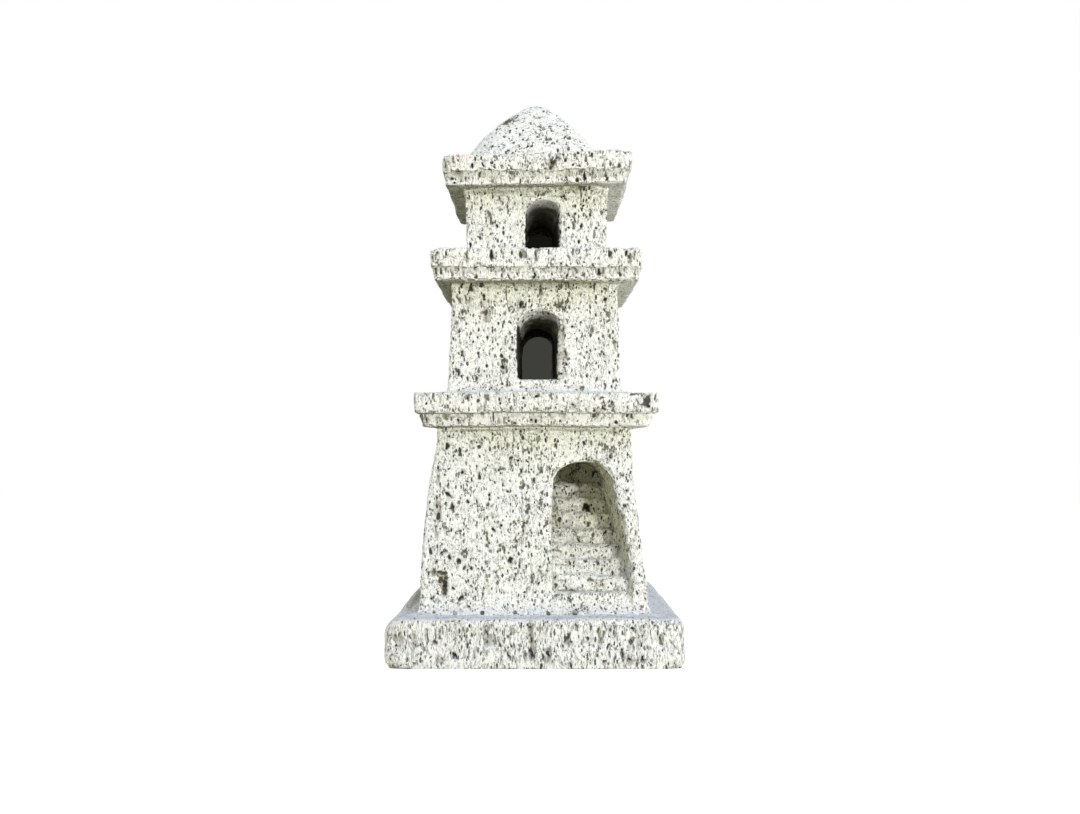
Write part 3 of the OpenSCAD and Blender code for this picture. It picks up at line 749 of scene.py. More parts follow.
def tuff(name, offset, specks=1.0, streaks=0.5, warm=0.5, grey=0.35, pits=1.0, dust_and_shade=0.85, fine=0.85, coarse=1.5, draw=1.0):
    """Porous white tuff: a pale matrix with upright flecks, dark pores, and tan and olive spots."""
    mat = bpy.data.materials.new(name)
    mat.use_nodes = True
    g = Graph(mat.node_tree)
    g.tree.nodes.clear()
    here = g.add("ShaderNodeTexCoord").outputs["Object"]
    mm = g.add("ShaderNodeVectorMath", {0: here, 1: (1000.0, 1000.0, 1000.0)}, operation="MULTIPLY").outputs[0]
    mm = g.add("ShaderNodeVectorMath", {0: mm, 1: offset}, operation="ADD").outputs[0]
    wob = g.add("ShaderNodeTexNoise", {"Vector": mm, "Scale": 0.7, "Detail": 2.0}).outputs["Color"]
    wob = g.add("ShaderNodeVectorMath", {0: wob, 1: (0.5, 0.5, 0.5)}, operation="SUBTRACT").outputs[0]
    wob = g.stretch(wob, (0.7, 0.7, 0.7))
    bent = g.add("ShaderNodeVectorMath", {0: mm, 1: wob}, operation="ADD").outputs[0]
    upright = g.stretch(bent, (1.0, 1.0, 0.5 * draw))
    fibres = g.stretch(bent, (1.0, 1.0, 0.17))

    # matrix
    broad = g.noise(mm, 0.10, 3.0)
    colour = g.mix(g.range(broad, 0.38, 0.66), rgba(0.950, 0.947, 0.880), rgba(0.942, 0.947, 0.903))
    cream = g.noise(upright, 0.26, 4.0, 0.6)
    colour = g.mix(g.math("MULTIPLY", g.range(cream, 0.52, 0.74), warm), colour, rgba(0.82, 0.80, 0.66))
    mott = g.noise(upright, 2.4, 5.0, 0.64)
    colour = g.mix(g.math("MULTIPLY", g.range(mott, 0.48, 0.64), grey), colour, rgba(0.34, 0.345, 0.295))
    cloud = g.noise(upright, 0.62, 4.0, 0.6)
    colour = g.mix(g.math("MULTIPLY", g.range(cloud, 0.54, 0.74), 0.26 * grey), colour, rgba(0.47, 0.47, 0.41))
    grit = g.noise(mm, 4.4, 3.0, 0.6)
    colour = g.mix(g.range(grit, 0.40, 0.75, 0.0, 0.30 * fine), colour, rgba(0.52, 0.52, 0.47))

    # small crumbled pits, drawn out along the grain
    crumb = g.noise(g.stretch(bent, (1.0, 1.0, 0.46 * draw)), 1.7, 5.0, 0.70)
    bare = g.range(g.noise(mm, 0.33, 2.0), 0.36, 0.60, 0.03, -0.02)
    crumb = g.math("ADD", crumb, bare)
    hole = g.range(crumb, 0.580, 0.630)
    colour = g.mix(g.math("MULTIPLY", hole, 0.84 * pits), colour, rgba(0.17, 0.17, 0.128))
    core = g.range(crumb, 0.614, 0.660)
    colour = g.mix(g.math("MULTIPLY", core, 0.92 * pits), colour, rgba(0.035, 0.036, 0.025))
    small = g.math("ADD", g.noise(g.stretch(bent, (1.0, 1.0, 0.55 * draw)), 2.9, 3.0, 0.60), bare)
    hole2 = g.range(small, 0.596, 0.645)
    colour = g.mix(g.math("MULTIPLY", hole2, 0.80 * pits * fine), colour, rgba(0.11, 0.112, 0.085))
    pit = g.math("ADD", g.attr("pit"), g.math("MULTIPLY_ADD", mott, 1.2, -0.60))
    colour = g.mix(g.range(pit, 0.25, 0.80, 0.0, 0.50 * pits), colour, rgba(0.38, 0.38, 0.31))
    colour = g.mix(g.range(pit, 0.66, 1.02, 0.0, 0.85 * pits), colour, rgba(0.060, 0.060, 0.042))

    # upright wisps, thin and drawn out
    wisp = g.noise(fibres, 3.3, 4.0, 0.62)
    wisp_mask = g.range(wisp, 0.56 - 0.03 * streaks, 0.67 - 0.05 * streaks)
    colour = g.mix(g.math("MULTIPLY", wisp_mask, 0.10 + 0.70 * streaks), colour, rgba(0.30 - 0.12 * streaks, 0.298 - 0.12 * streaks, 0.24 - 0.10 * streaks))
    if streaks > 0.8:
        # broad upright fibres with dark gaps between them
        gap = g.noise(g.stretch(bent, (1.0, 1.0, 0.13)), 1.55, 4.0, 0.60)
        colour = g.mix(g.range(gap, 0.545, 0.645, 0.0, 0.52), colour, rgba(0.28, 0.275, 0.22))
        colour = g.mix(g.range(gap, 0.605, 0.665, 0.0, 0.90), colour, rgba(0.060, 0.059, 0.040))
    line = g.math("MULTIPLY", g.range(g.attr("streak"), 0.25, 0.9), 0.5 * streaks)
    colour = g.mix(line, colour, rgba(0.42 - 0.20 * streaks, 0.405 - 0.20 * streaks, 0.31 - 0.16 * streaks))

    # grey crystals and small dark specks
    d1, a1, b1 = g.cells(upright, coarse)
    fray = g.math("MULTIPLY_ADD", grit, 0.36, -0.18)
    d1 = g.math("ADD", d1, fray)
    r1 = g.math("MULTIPLY_ADD", g.math("MULTIPLY", a1, a1), 0.50, 0.0)
    s1 = g.range(g.math("SUBTRACT", r1, d1), -0.02, 0.07)
    s1 = g.math("MULTIPLY", s1, 0.94 * specks)
    tone1 = g.ramp(b1, [(0.0, (0.022, 0.023, 0.016)), (0.50, (0.060, 0.062, 0.044)), (0.78, (0.17, 0.172, 0.14)), (0.92, (0.20, 0.16, 0.09)), (1.0, (0.34, 0.345, 0.32))])
    colour = g.mix(s1, colour, tone1)
    d2, a2, b2 = g.cells(g.stretch(bent, (1.0, 1.0, 0.62 * draw)), 3.6)
    d2 = g.math("ADD", d2, fray)
    r2 = g.math("MULTIPLY_ADD", g.math("MULTIPLY", a2, a2), 0.38, 0.02)
    s2 = g.math("MULTIPLY", g.range(g.math("SUBTRACT", r2, d2), -0.03, 0.09), 0.75 * specks * fine)
    colour = g.mix(s2, colour, g.mix(b2, rgba(0.105, 0.11, 0.085), rgba(0.36, 0.365, 0.33)))

    # stains and painted shade: 0 olive, 0.5 brown, 1 pink
    hue = g.ramp(g.attr("hue"), [(0.0, (0.20, 0.195, 0.105)), (0.5, (0.21, 0.145, 0.075)), (1.0, (0.72, 0.50, 0.38))])
    colour = g.mix(g.math("MULTIPLY", g.attr("stain_and_shade"), g.range(mott, 0.30, 0.62, 0.45, 1.0)), colour, hue)

    # painted shade: olive-cream under the cornices, in the niche and on the flight's shaded right; dark painted shade
    # inside the windows, near-black at their far rims
    shade_tint = g.attr("shade_tint")
    colour = g.mix(g.math("MULTIPLY", shade_tint, g.range(cloud, 0.34, 0.62, 0.55, 1.0), clamp=True), colour, rgba(0.945, 0.95, 0.84), "MULTIPLY")
    colour = g.mix(g.range(shade_tint, 0.9, 1.9), colour, rgba(0.97, 0.945, 0.86), "MULTIPLY")
    tunnel_shade = g.attr("tunnel_shade")
    # painted shade inside the windows, near-black at their far rims
    colour = g.mix(g.range(tunnel_shade, 0.0, 0.92, 0.0, 0.92, smooth=False), colour, g.mix(g.range(mott, 0.40, 0.62), rgba(0.19, 0.18, 0.145), rgba(0.10, 0.092, 0.068)))
    colour = g.mix(g.range(tunnel_shade, 0.92, 1.25, 0.0, 0.85), colour, rgba(0.030, 0.029, 0.023))
    colour = g.mix(g.range(tunnel_shade, 1.3, 1.6, 0.0, 0.95), colour, rgba(0.003, 0.003, 0.002))

    # open pores, darkest inside
    f = g.math("ADD", g.attr("pore"), g.math("MULTIPLY_ADD", grit, 0.5, -0.25))
    deep = g.ramp(g.attr("tone"), [(0.0, (0.010, 0.011, 0.007)), (0.30, (0.032, 0.033, 0.021)), (0.42, (0.090, 0.088, 0.050)), (0.55, (0.15, 0.13, 0.075)), (0.70, (0.110, 0.078, 0.040)), (0.85, (0.085, 0.090, 0.090)), (1.0, (0.30, 0.30, 0.265))])
    colour = g.mix(g.math("MULTIPLY", g.range(f, -0.22, 0.10, 0.0, 0.45), g.range(tunnel_shade, 0.0, 0.5, 1.0, 0.0)), colour, rgba(0.38, 0.375, 0.31))
    deep = g.mix(g.range(mott, 0.40, 0.60, 0.0, 0.55), deep, rgba(0.30, 0.295, 0.24), "MULTIPLY")
    colour = g.mix(g.range(f, 0.02, 0.34, 0.0, 0.94), colour, deep)

    # worn convex edges lighter, partly a painted highlight; painted shade in concave creases and on undersides; dust
    # and painted cool shade on ledges
    edge = g.attr("edge")
    colour = g.mix(g.math("MULTIPLY", g.range(edge, 0.25, 0.9, 0.0, 0.12), g.range(tunnel_shade, 0.0, 0.4, 1.0, 0.0)), colour, rgba(0.90, 0.885, 0.83))
    colour = g.mix(g.range(edge, -0.25, -0.9, 0.0, 0.14), colour, rgba(0.42, 0.40, 0.31))
    up = g.add("ShaderNodeSeparateXYZ", {0: g.add("ShaderNodeNewGeometry").outputs["Normal"]}).outputs["Z"]
    across = g.add("ShaderNodeSeparateXYZ", {0: here}).outputs["X"]
    # painted shade on the undersides, olive and patchy, much weaker on the right side
    underside_shade = g.math("MULTIPLY", g.range(up, -0.35, -0.85, 0.0, 0.55), g.range(shade_tint, -1.0, 0.0))
    underside_shade = g.math("MULTIPLY", underside_shade, g.range(across, 0.012, 0.022, 1.0, 0.12))
    colour = g.mix(underside_shade, colour, rgba(0.48, 0.47, 0.29), "MULTIPLY")
    colour = g.mix(g.math("MULTIPLY", underside_shade, g.range(g.noise(mm, 1.1, 4.0, 0.65), 0.46, 0.62, 0.0, 1.2), clamp=True), colour, rgba(0.17, 0.165, 0.095))
    # dust and painted cool shade on up-facing surfaces, kept off the pores, the niche and the stains
    ledge_dust_and_shade = g.range(up, 0.25, 0.85, 0.0, dust_and_shade)
    ledge_dust_and_shade = g.math("MULTIPLY", ledge_dust_and_shade, g.range(g.math("MAXIMUM", s1, core), 0.1, 0.9, 1.0, 0.35))
    ledge_dust_and_shade = g.math("MULTIPLY", ledge_dust_and_shade, g.range(shade_tint, 0.30, 0.55, 1.0, 0.0))
    ledge_dust_and_shade = g.math("MULTIPLY", ledge_dust_and_shade, g.range(g.attr("stain_and_shade"), 0.0, 0.5, 1.0, 0.1))
    colour = g.mix(ledge_dust_and_shade, colour, rgba(0.575, 0.588, 0.635))

    rough = g.math("MULTIPLY_ADD", grit, 0.16, 0.80)
    h = g.math("MULTIPLY_ADD", grit, 0.35, g.math("MULTIPLY", mott, 0.5))
    h = g.math("SUBTRACT", h, g.math("MULTIPLY", s1, 0.9))
    h = g.math("SUBTRACT", h, g.math("MULTIPLY", s2, 0.45))
    h = g.math("SUBTRACT", h, g.math("MULTIPLY", wisp_mask, 0.35))
    h = g.math("SUBTRACT", h, g.math("MULTIPLY", hole, 0.8))
    h = g.math("SUBTRACT", h, g.math("MULTIPLY", hole2, 0.4))
    bump = g.add("ShaderNodeBump", {"Height": h, "Strength": g.range(up, 0.45, 0.90, 0.75, 0.35), "Distance": 0.00035})
    shader = g.add("ShaderNodeBsdfPrincipled", {"Base Color": colour, "Roughness": rough, "Normal": bump.outputs[0]})
    # no gloss where the painted tunnel shade lies, so no reflection shows there
    g.tree.links.new(g.range(tunnel_shade, 0.0, 0.8, 0.18, 0.0), shader.inputs["Specular IOR Level"])
    out = g.add("ShaderNodeOutputMaterial", {"Surface": shader.outputs[0]})
    out.is_active_output = True
    return mat


def lime():
    """Sandy lime mortar."""
    mat = bpy.data.materials.new("lime_bed")
    mat.use_nodes = True
    g = Graph(mat.node_tree)
    g.tree.nodes.clear()
    here = g.add("ShaderNodeTexCoord").outputs["Object"]
    mm = g.stretch(here, (1000.0, 1000.0, 1000.0))
    sand = g.noise(mm, 3.0, 4.0, 0.65)
    colour = g.mix(g.range(g.noise(mm, 0.5, 3.0), 0.4, 0.65), rgba(0.70, 0.68, 0.60), rgba(0.80, 0.785, 0.72))
    colour = g.mix(g.range(sand, 0.45, 0.75, 0.0, 0.5), colour, rgba(0.46, 0.43, 0.34))
    d, a, b = g.cells(mm, 2.2)
    grain = g.range(g.math("SUBTRACT", g.math("MULTIPLY", a, 0.28), d), -0.02, 0.05)
    colour = g.mix(grain, colour, g.mix(b, rgba(0.20, 0.18, 0.13), rgba(0.50, 0.48, 0.42)))
    bump = g.add("ShaderNodeBump", {"Height": sand, "Strength": 0.6, "Distance": 0.0002})
    shader = g.add("ShaderNodeBsdfPrincipled", {"Base Color": colour, "Roughness": g.math("MULTIPLY_ADD", sand, 0.12, 0.84), "Normal": bump.outputs[0]})
    shader.inputs["Specular IOR Level"].default_value = 0.18
    g.add("ShaderNodeOutputMaterial", {"Surface": shader.outputs[0]})
    return mat


WALL = tuff("tuff_wall", (0.0, 0.0, 0.0), 0.96, 0.34, 0.30, 0.46, dust_and_shade=0.50, fine=0.80)
WALL_MID = tuff("tuff_wall_mid", (31.0, 17.0, 5.0), 1.0, 0.40, 0.34, 0.48, 1.0, dust_and_shade=0.50, fine=0.80, coarse=1.38)
WALL_TOP = tuff("tuff_wall_top", (53.0, 41.0, 13.0), 0.95, 0.40, 0.40, 0.44, 0.95, dust_and_shade=0.45, fine=0.80)
BASE = tuff("tuff_base", (11.0, 71.0, 3.0), 1.0, 0.85, 0.34, 0.22, 0.66, dust_and_shade=0.70, fine=0.55, draw=0.66)
COURSE = tuff("tuff_course", (83.0, 29.0, 7.0), 0.80, 0.50, 0.34, 0.44, 0.92, dust_and_shade=0.45)
# a lighter copy of the course material for the lower band, painted light to offset the shade it lies in under the
# lower slab
COURSE_LOW_LIGHTENED = tuff("tuff_course_low_lightened", (61.0, 3.0, 47.0), 0.80, 0.36, 0.15, 0.16, 0.62, dust_and_shade=0.45)
CAP = tuff("tuff_cap", (19.0, 37.0, 23.0), 1.0, 0.25, 0.10, 0.34, 1.0, dust_and_shade=0.0, fine=0.70, coarse=1.1)
STEP = tuff("tuff_step", (43.0, 59.0, 31.0), 1.0, 0.30, 0.45, 0.46, dust_and_shade=0.0)
LIME = lime()

# ---------------------------------------------------------------------------
# Marks that the stones carry on their front: picture place, half width and half height
# in picture points, depth in millimetres, tone (0 black, 0.4 olive, 0.7 brown, 1 grey).
# ---------------------------------------------------------------------------
MARKS = {
    "plinth": [
        (529, 621, 5.6, 5, 1.8, None), (530, 629, 3.4, 9, 1.4, 0.38), (531.5, 643, 2.2, 9, 0.9, 0.38),
        (435, 642, 2.5, 2.6, 0.8, 0.68), (487.6, 634, 1.0, 5, 0.6, 0.7), (487.4, 643, 0.9, 4, 0.6, 0.5), (565, 641, 1.2, 5, 0.5, 0.4),
        (588, 639, 2.0, 3.0, 0.6, 0.66), (631, 641, 1.9, 3.2, 0.6, 0.66), (629, 661, 4, 5.2, 0.9, 0.7),
        (642, 661, 2.6, 5, 1.0, 0.1), (603, 662, 2.3, 2.8, 0.6, 0.66), (415, 664, 2.4, 3, 0.8, 0.3),
        (443, 660, 2.6, 4, 0.5, 0.7), (468, 668, 4, 3, 0.9, 0.4), (632, 628, 1.8, 2, 0.6, 0.1),
        (395, 637, 2.4, 4, 0.6, 0.4), (434, 624, 2, 2.6, 0.6, 0.3), (450, 621, 2.6, 2, 0.5, 0.3),
        (511, 630, 1.4, 6, 0.4, 0.4), (548, 655, 1.4, 6, 0.4, 0.4), (660, 640, 1.6, 6, 0.4, 0.4),
    ],
    "lower_storey": [
        (444.2, 583, 3.2, 12.0, 1.3, None), (439.8, 572.6, 3.2, 2.0, 1.0, 0.62), (443.8, 573.6, 3.0, 2.2, 1.2, 0.66), (445.2, 577.8, 2.5, 2.7, 1.3, 0.58), (444.2, 582, 2.7, 2.5, 1.5, 0.33), (444.4, 586, 2.8, 2.4, 1.5, 0.30), (444.3, 590, 2.8, 2.4, 1.4, 0.48), (444.0, 593.6, 2.5, 2.2, 1.2, 0.55), (437, 509, 3.0, 12, 1.3, None), (437.8, 515, 1.7, 4.1, 1.3, 0.36), (436.4, 506, 1.6, 4.3, 1.3, 0.40), (436, 498, 1.2, 4, 1.0, 0.42), (435.4, 530, 1.3, 9, 1.0, 0.40), (437.6, 478, 1.2, 6, 0.8, 0.40),
        (509.8, 560.7, 2.2, 4.6, 0.9, 0.0), (458.7, 561.5, 2.5, 3.2, 0.8, 0.05),
        (487, 537.7, 1.4, 5, 0.5, 0.4), (467.7, 501.7, 1.5, 3, 0.6, 0.05), (462, 472.6, 1.7, 2.6, 0.7, 0.0),
        (528, 508.6, 1.6, 6, 0.5, 0.9, 0.3), (541, 504, 1.4, 4.4, 0.5, 0.9), (501, 525.5, 1.9, 1.9, 0.6, 0.1),
        (462.8, 597.5, 1.9, 2.4, 0.5, 0.3), (469, 606.6, 3, 1.8, 0.5, 0.4), (434.5, 612, 3, 1.8, 0.8, 0.05),
        (482.7, 612, 2.4, 2.2, 0.8, 0.1), (515, 611.5, 2.4, 1.6, 0.7, 0.2), (548.4, 612, 2.6, 1.5, 0.6, 0.2),
        (575, 611, 4.2, 1.8, 0.8, 0.1), (614.7, 611.6, 2, 1.6, 0.6, 0.1), (519.5, 566, 1.3, 4.2, 0.5, 0.4),
        (545.8, 441, 1.4, 4.2, 0.6, 0.1), (556.5, 447, 1.2, 4.6, 0.5, 0.4), (522.6, 438, 1.8, 3.6, 0.4, 0.4),
        (479, 446.6, 2.2, 2.4, 0.6, 0.35), (473.5, 448, 1.4, 1.5, 0.5, 0.0), (459.8, 451, 1.3, 4, 0.5, 0.4),
        (615, 433, 3, 3, 0.5, 0.42), (591, 443, 1.8, 4, 0.5, 0.42), (633.7, 569, 1.6, 2, 0.6, 0.05),
        (640.4, 575, 1.6, 2.3, 0.6, 0.05), (634.9, 515.3, 1.3, 1.5, 0.5, 0.0), (557, 577, 1.5, 2.6, 0.6, 0.1),
        (562, 594, 1.3, 4.6, 0.4, 0.9), (636, 534, 1.2, 3.6, 0.4, 0.7), (430, 552, 1.3, 4, 0.5, 0.2),
        (541.5, 532, 1.2, 3, 0.4, 0.3), (499, 470, 1.3, 3, 0.5, 0.2), (489, 495, 1.3, 2.2, 0.5, 0.1),
    ],
    "lower_cornice_band": [
        (514.6, 423.6, 3, 2.1, 0.7, 0.6), (531.4, 421, 2.4, 3.4, 0.6, 0.4), (536, 421, 1.2, 2.8, 0.6, 0.1),
        (508.8, 421, 1.2, 1.5, 0.5, 0.0), (425.5, 421, 3, 4, 0.9, 0.36), (430.5, 426, 2.4, 2, 0.6, 0.4),
        (493.5, 419, 1, 5, 0.4, 0.4), (616.5, 422.5, 1.8, 2.3, 0.6, 0.05), (631, 417, 1.6, 2.2, 0.5, 0.4),
        (594, 415, 2, 2.6, 0.5, 0.4), (560, 421, 1.2, 1.6, 0.5, 0.1), (458, 420, 1.1, 1.6, 0.4, 0.3),
    ],
    "lower_cornice_slab": [
        (647, 402, 3.4, 6.6, 1.0, 0.85, 0.3), (649, 406, 1.6, 2.4, 0.9, 0.1), (635, 394.6, 4, 1.6, 0.5, 0.9), (523.5, 398.5, 2, 1.9, 0.6, 0.05),
        (536.5, 397, 2, 1.5, 0.5, 0.1), (433, 398, 1.2, 4.6, 0.4, 0.4), (573, 405, 3, 2.4, 0.3, 0.42),
        (500, 403, 1.3, 2, 0.5, 0.1), (522, 408, 1.4, 1.6, 0.5, 0.1), (467, 399, 1.3, 2, 0.5, 0.1),
        (426, 404, 1.4, 1.8, 0.5, 0.2), (612, 402, 1.3, 2.4, 0.5, 0.2),
    ],
    "middle_storey": [
        (485.8, 316, 3.2, 10, 0.8, 0.42, 0.12), (481, 304, 1.6, 5, 0.5, 0.5), (540.7, 291.5, 2.8, 5, 0.9, 0.62),
        (481, 285.6, 2.5, 2.4, 0.7, 0.05), (471, 289, 2.4, 2.6, 0.6, 0.36), (501.6, 356, 1.8, 2.5, 0.8, 0.05),
        (502.4, 367, 2.6, 2.7, 0.9, 0.0), (502, 361.5, 1.3, 4, 0.5, 0.42), (486.5, 366, 2, 2.4, 0.7, 0.05),
        (476.5, 379, 1.4, 4, 0.6, 0.5), (458.5, 372, 1.3, 4.4, 0.6, 0.2), (462, 353, 2.2, 3.4, 0.6, 0.4),
        (478, 353, 1.6, 2.4, 0.6, 0.3), (513, 349.7, 1.6, 1.8, 0.7, 0.0), (572, 326.5, 1.6, 1.8, 0.7, 0.0),
        (566.5, 364, 1.5, 2.3, 0.7, 0.0), (565.5, 354.6, 2.8, 6, 0.7, 0.45), (559.8, 306, 2, 2, 0.6, 0.6),
        (592, 329, 1.9, 4, 0.5, 0.95), (582.7, 387.5, 3, 2.8, 0.6, 0.9), (604, 354, 1.5, 2, 0.6, 0.1),
        (613.5, 380.8, 1.4, 1.8, 0.6, 0.0), (596, 315, 1.4, 1.5, 0.6, 0.05), (605, 298.5, 1.6, 1.7, 0.6, 0.05),
        (594, 287, 1.2, 4, 0.5, 0.4), (614, 291, 1.5, 1.8, 0.6, 0.1), (506, 291, 0.9, 6, 0.4, 0.5),
        (560, 336, 2.6, 12, 0.55, None), (562, 330, 1.8, 5, 0.5, 0.5),
    ],
    "middle_cornice_band": [
        (598.8, 273, 2.2, 3.8, 0.9, 0.02), (567.3, 275, 0.9, 5, 0.6, 0.1, 0.35), (502, 275, 0.9, 4, 0.5, 0.6),
        (476.5, 277, 1.5, 2.2, 0.5, 0.4), (441, 273, 1.5, 3, 0.6, 0.4), (435, 273, 1.8, 3.4, 0.6, 0.7),
        (535, 273, 0.9, 2, 0.5, 0.1), (552, 274, 0.9, 2, 0.5, 0.2), (576, 277, 1.6, 1.6, 0.5, 0.1),
        (620, 274, 1.3, 3.2, 0.4, 0.4), (534, 277, 2.6, 1.4, 0.4, 0.1),
    ],
    "middle_cornice_slab": [
        (491, 255.4, 1.9, 4.4, 0.7, 0.1), (535.8, 257, 2.4, 5, 0.8, 0.45), (629.6, 258.5, 3, 5.4, 0.8, 0.5),
        (466.6, 258, 1.9, 5, 0.8, 0.62, -0.2), (525, 255.4, 3.6, 4.6, 0.5, 1.0), (609.6, 255, 1.6, 3, 0.5, 0.4),
        (530, 249, 5, 2.6, 0.7, None), (512, 254, 1.2, 2, 0.5, 0.2), (573, 253, 1.4, 4, 0.4, 0.9),
        (446, 255, 1.2, 2.4, 0.5, 0.2), (584, 262, 1.2, 1.8, 0.5, 0.2), (437, 254, 1.2, 1.4, 0.5, 0.1),
    ],
    "upper_storey": [
        (579.4, 188, 2.4, 4.6, 0.6, 0.62), (581, 196, 0.8, 7, 0.4, 0.5), (583.7, 190, 1.6, 1.6, 0.6, 0.05),
        (588.8, 189, 1.4, 1.5, 0.6, 0.05), (573.9, 224.4, 1.3, 3.8, 0.7, 0.55), (568.6, 227.3, 1.7, 1.8, 0.7, 0.05),
        (578.7, 242, 1.2, 2.6, 0.6, 0.1), (499, 198, 0.9, 4, 0.5, 0.6), (490.6, 219.4, 1.2, 3.4, 0.5, 0.6),
        (564, 197, 1.8, 1.8, 0.6, 0.36), (560.6, 198, 1.4, 1.6, 0.6, 0.1), (583, 205.6, 1.5, 1.6, 0.6, 0.05),
        (467.8, 198, 1.4, 1.6, 0.5, 0.05), (540.4, 202, 2.4, 1.5, 0.5, 0.1), (596, 228, 1.4, 1.6, 0.6, 0.1),
        (563, 238, 3.4, 6, 0.7, None), (575, 206, 1.2, 2, 0.5, 0.3), (497, 226, 1.2, 2.4, 0.5, 0.3),
    ],
    "upper_cornice_band": [
        (584.5, 177.8, 1.1, 3.4, 0.7, 0.0), (547.7, 177.8, 1.6, 1.6, 0.6, 0.05), (451.6, 178.7, 1.8, 1.6, 0.6, 0.05),
        (454, 183, 1.8, 1.4, 0.5, 0.1), (480, 174, 1, 4, 0.4, 0.45), (510, 178, 1.1, 1.4, 0.4, 0.3),
        (566, 177, 1.2, 1.5, 0.4, 0.3), (606, 176, 1.1, 1.6, 0.4, 0.2),
    ],
    "upper_cornice_slab": [
        (553.6, 156, 5.2, 5.6, 2.3, None, 0.25), (551.2, 164, 3.8, 6, 2.0, None, 0.3), (554.2, 156, 2.0, 3.4, 2.4, 0.36, 0.25), (552.6, 160, 1.8, 3.2, 2.3, 0.44, 0.25), (550.6, 166, 2.2, 3.0, 2.0, 0.56, 0.3), (475, 159, 1.2, 4, 0.6, 0.05),
        (489, 170, 1.6, 2.4, 0.7, 0.1), (625.6, 152.4, 2.2, 1.7, 0.7, 0.0), (617, 152.4, 1.6, 1.7, 0.6, 0.0),
        (578, 153.6, 1.9, 1.9, 0.6, 0.1), (565, 160, 1.6, 2.5, 0.6, 0.1), (619, 166.5, 1.9, 3.4, 0.8, 0.55),
        (610.4, 163.8, 1.5, 3, 0.5, 0.45), (502, 155, 1.6, 2.6, 0.6, 0.1), (494, 156.5, 1.5, 2, 0.5, 0.95),
        (446, 153, 6, 4.5, 1.0, None), (444, 168, 2.2, 6, 0.6, 0.42), (453, 160, 1.6, 6, 0.4, 0.6),
        (586, 158, 1.4, 3, 0.4, 0.9), (592, 156, 1.2, 2.6, 0.5, 0.2),
    ],
}
# The same for marks that aren't on a stone's front plane.
SPOTS = {
    "stair_flight": [
        (586, 507, 3.6, 5.2, 1.1, 0.12, -0.5), (582, 511.5, 2.6, 2.4, 0.8, 0.05), (580, 483.5, 1.8, 1.6, 0.6, 0.0),
        (577, 539, 1.8, 3.8, 0.6, 0.62, -0.3), (586.5, 563, 1.9, 2.2, 0.6, 0.85), (604, 570, 1.4, 2.6, 0.6, 0.42),
        (560, 520, 2.6, 3.4, 0.5, 0.85), (588, 523, 2.0, 2.6, 0.5, 0.42), (571, 565, 1.6, 2.0, 0.5, 0.1),
        (557, 577, 1.5, 2.4, 0.6, 0.1), (575, 494, 1.6, 2.0, 0.5, 0.42), (568, 486, 2.2, 1.8, 0.6, 0.3),
        (598, 560, 2.2, 5.0, 0.5, 0.55), (594, 533, 1.6, 3.0, 0.4, 0.6), (565, 523, 1.2, 3.0, 0.5, 0.42),
    ],
    "lower_storey": [
        (611.5, 502, 1.9, 4.8, 0.7, 0.46), (618.5, 547.5, 1.6, 5.0, 0.6, 0.46), (631, 598, 1.7, 7.0, 0.8, None), (632.5, 569, 1.6, 2.2, 0.6, 0.1), (602.5, 507, 1.3, 3.8, 0.5, 0.5),
        (608, 524, 2.2, 3.6, 0.4, 0.42), (599.5, 493, 1.1, 2.4, 0.4, 0.42), (593, 470, 1.2, 1.4, 0.4, 0.2),
    ],
    "dome_cap": [
        (514, 119.4, 2.0, 1.4, 0.6, 0.60), (539.2, 115.3, 2.2, 1.5, 0.7, 0.0), (544, 127.7, 2.2, 1.8, 0.8, 0.0),
        (565.3, 128, 1.2, 1.3, 0.6, 0.0), (566, 134, 1.2, 2.2, 0.6, 0.1), (570, 136, 2.2, 2.6, 0.4, 0.55),
        (520, 132.6, 1.5, 2.0, 0.6, 0.1), (538.5, 135, 1.5, 1.8, 0.5, 0.1), (585, 143.8, 1.8, 1.2, 0.5, 0.85),
        (503.5, 135, 1.5, 2.4, 0.4, 0.85), (531, 122, 1.2, 3.0, 0.4, 1.0), (553, 141, 1.4, 1.6, 0.5, 0.3),
    ],
}
# Outlined inclusions: picture place, half width, half height, depth, tone.
RINGS = {
    "lower_storey": [(518, 529, 4.4, 9.0, 0.40, 0.55)],
    "middle_storey": [(563.2, 294.5, 5.0, 9.5, 0.35, 0.5)],
}
# Thin cracks: half width in picture points, depth, tone, and the picture points that they follow.
CRACKS = {
    "lower_storey": [
        (0.9, 0.40, 0.55, [(521.5, 492), (522.6, 503), (521.6, 514), (523.4, 527), (522.0, 541), (520.4, 556)]),
        (0.8, 0.35, 0.9, [(484, 526), (486, 534), (487.4, 541), (487.6, 549)]),
        (0.8, 0.3, 0.9, [(480.5, 507), (481.5, 518)]),
    ],
    "plinth": [
        (1.2, 0.9, 0.36, [(530, 636), (531.6, 644), (530.6, 652), (532, 660), (531, 667)]),
        (0.8, 0.4, 0.5, [(487.6, 626), (487.2, 640), (488.4, 652)]),
        (0.8, 0.4, 0.42, [(465, 640), (464.4, 652), (465.4, 666)]),
    ],
    "middle_storey": [
        (0.7, 0.35, 0.4, [(558.4, 286), (557.0, 294), (558.6, 303), (562, 306)]),
        (0.7, 0.35, 0.35, [(567.5, 284), (569.6, 292), (568.6, 301), (564, 306)]),
        (0.6, 0.3, 0.5, [(506, 285), (506.4, 297)]),
    ],
    "upper_storey": [(0.7, 0.4, 0.5, [(580, 190), (581.4, 198), (580.8, 206)])],
    "middle_cornice_slab": [(0.7, 0.4, 0.35, [(491, 250), (491.6, 262)]), (0.8, 0.4, 0.5, [(467.5, 252), (466, 264)])],
}
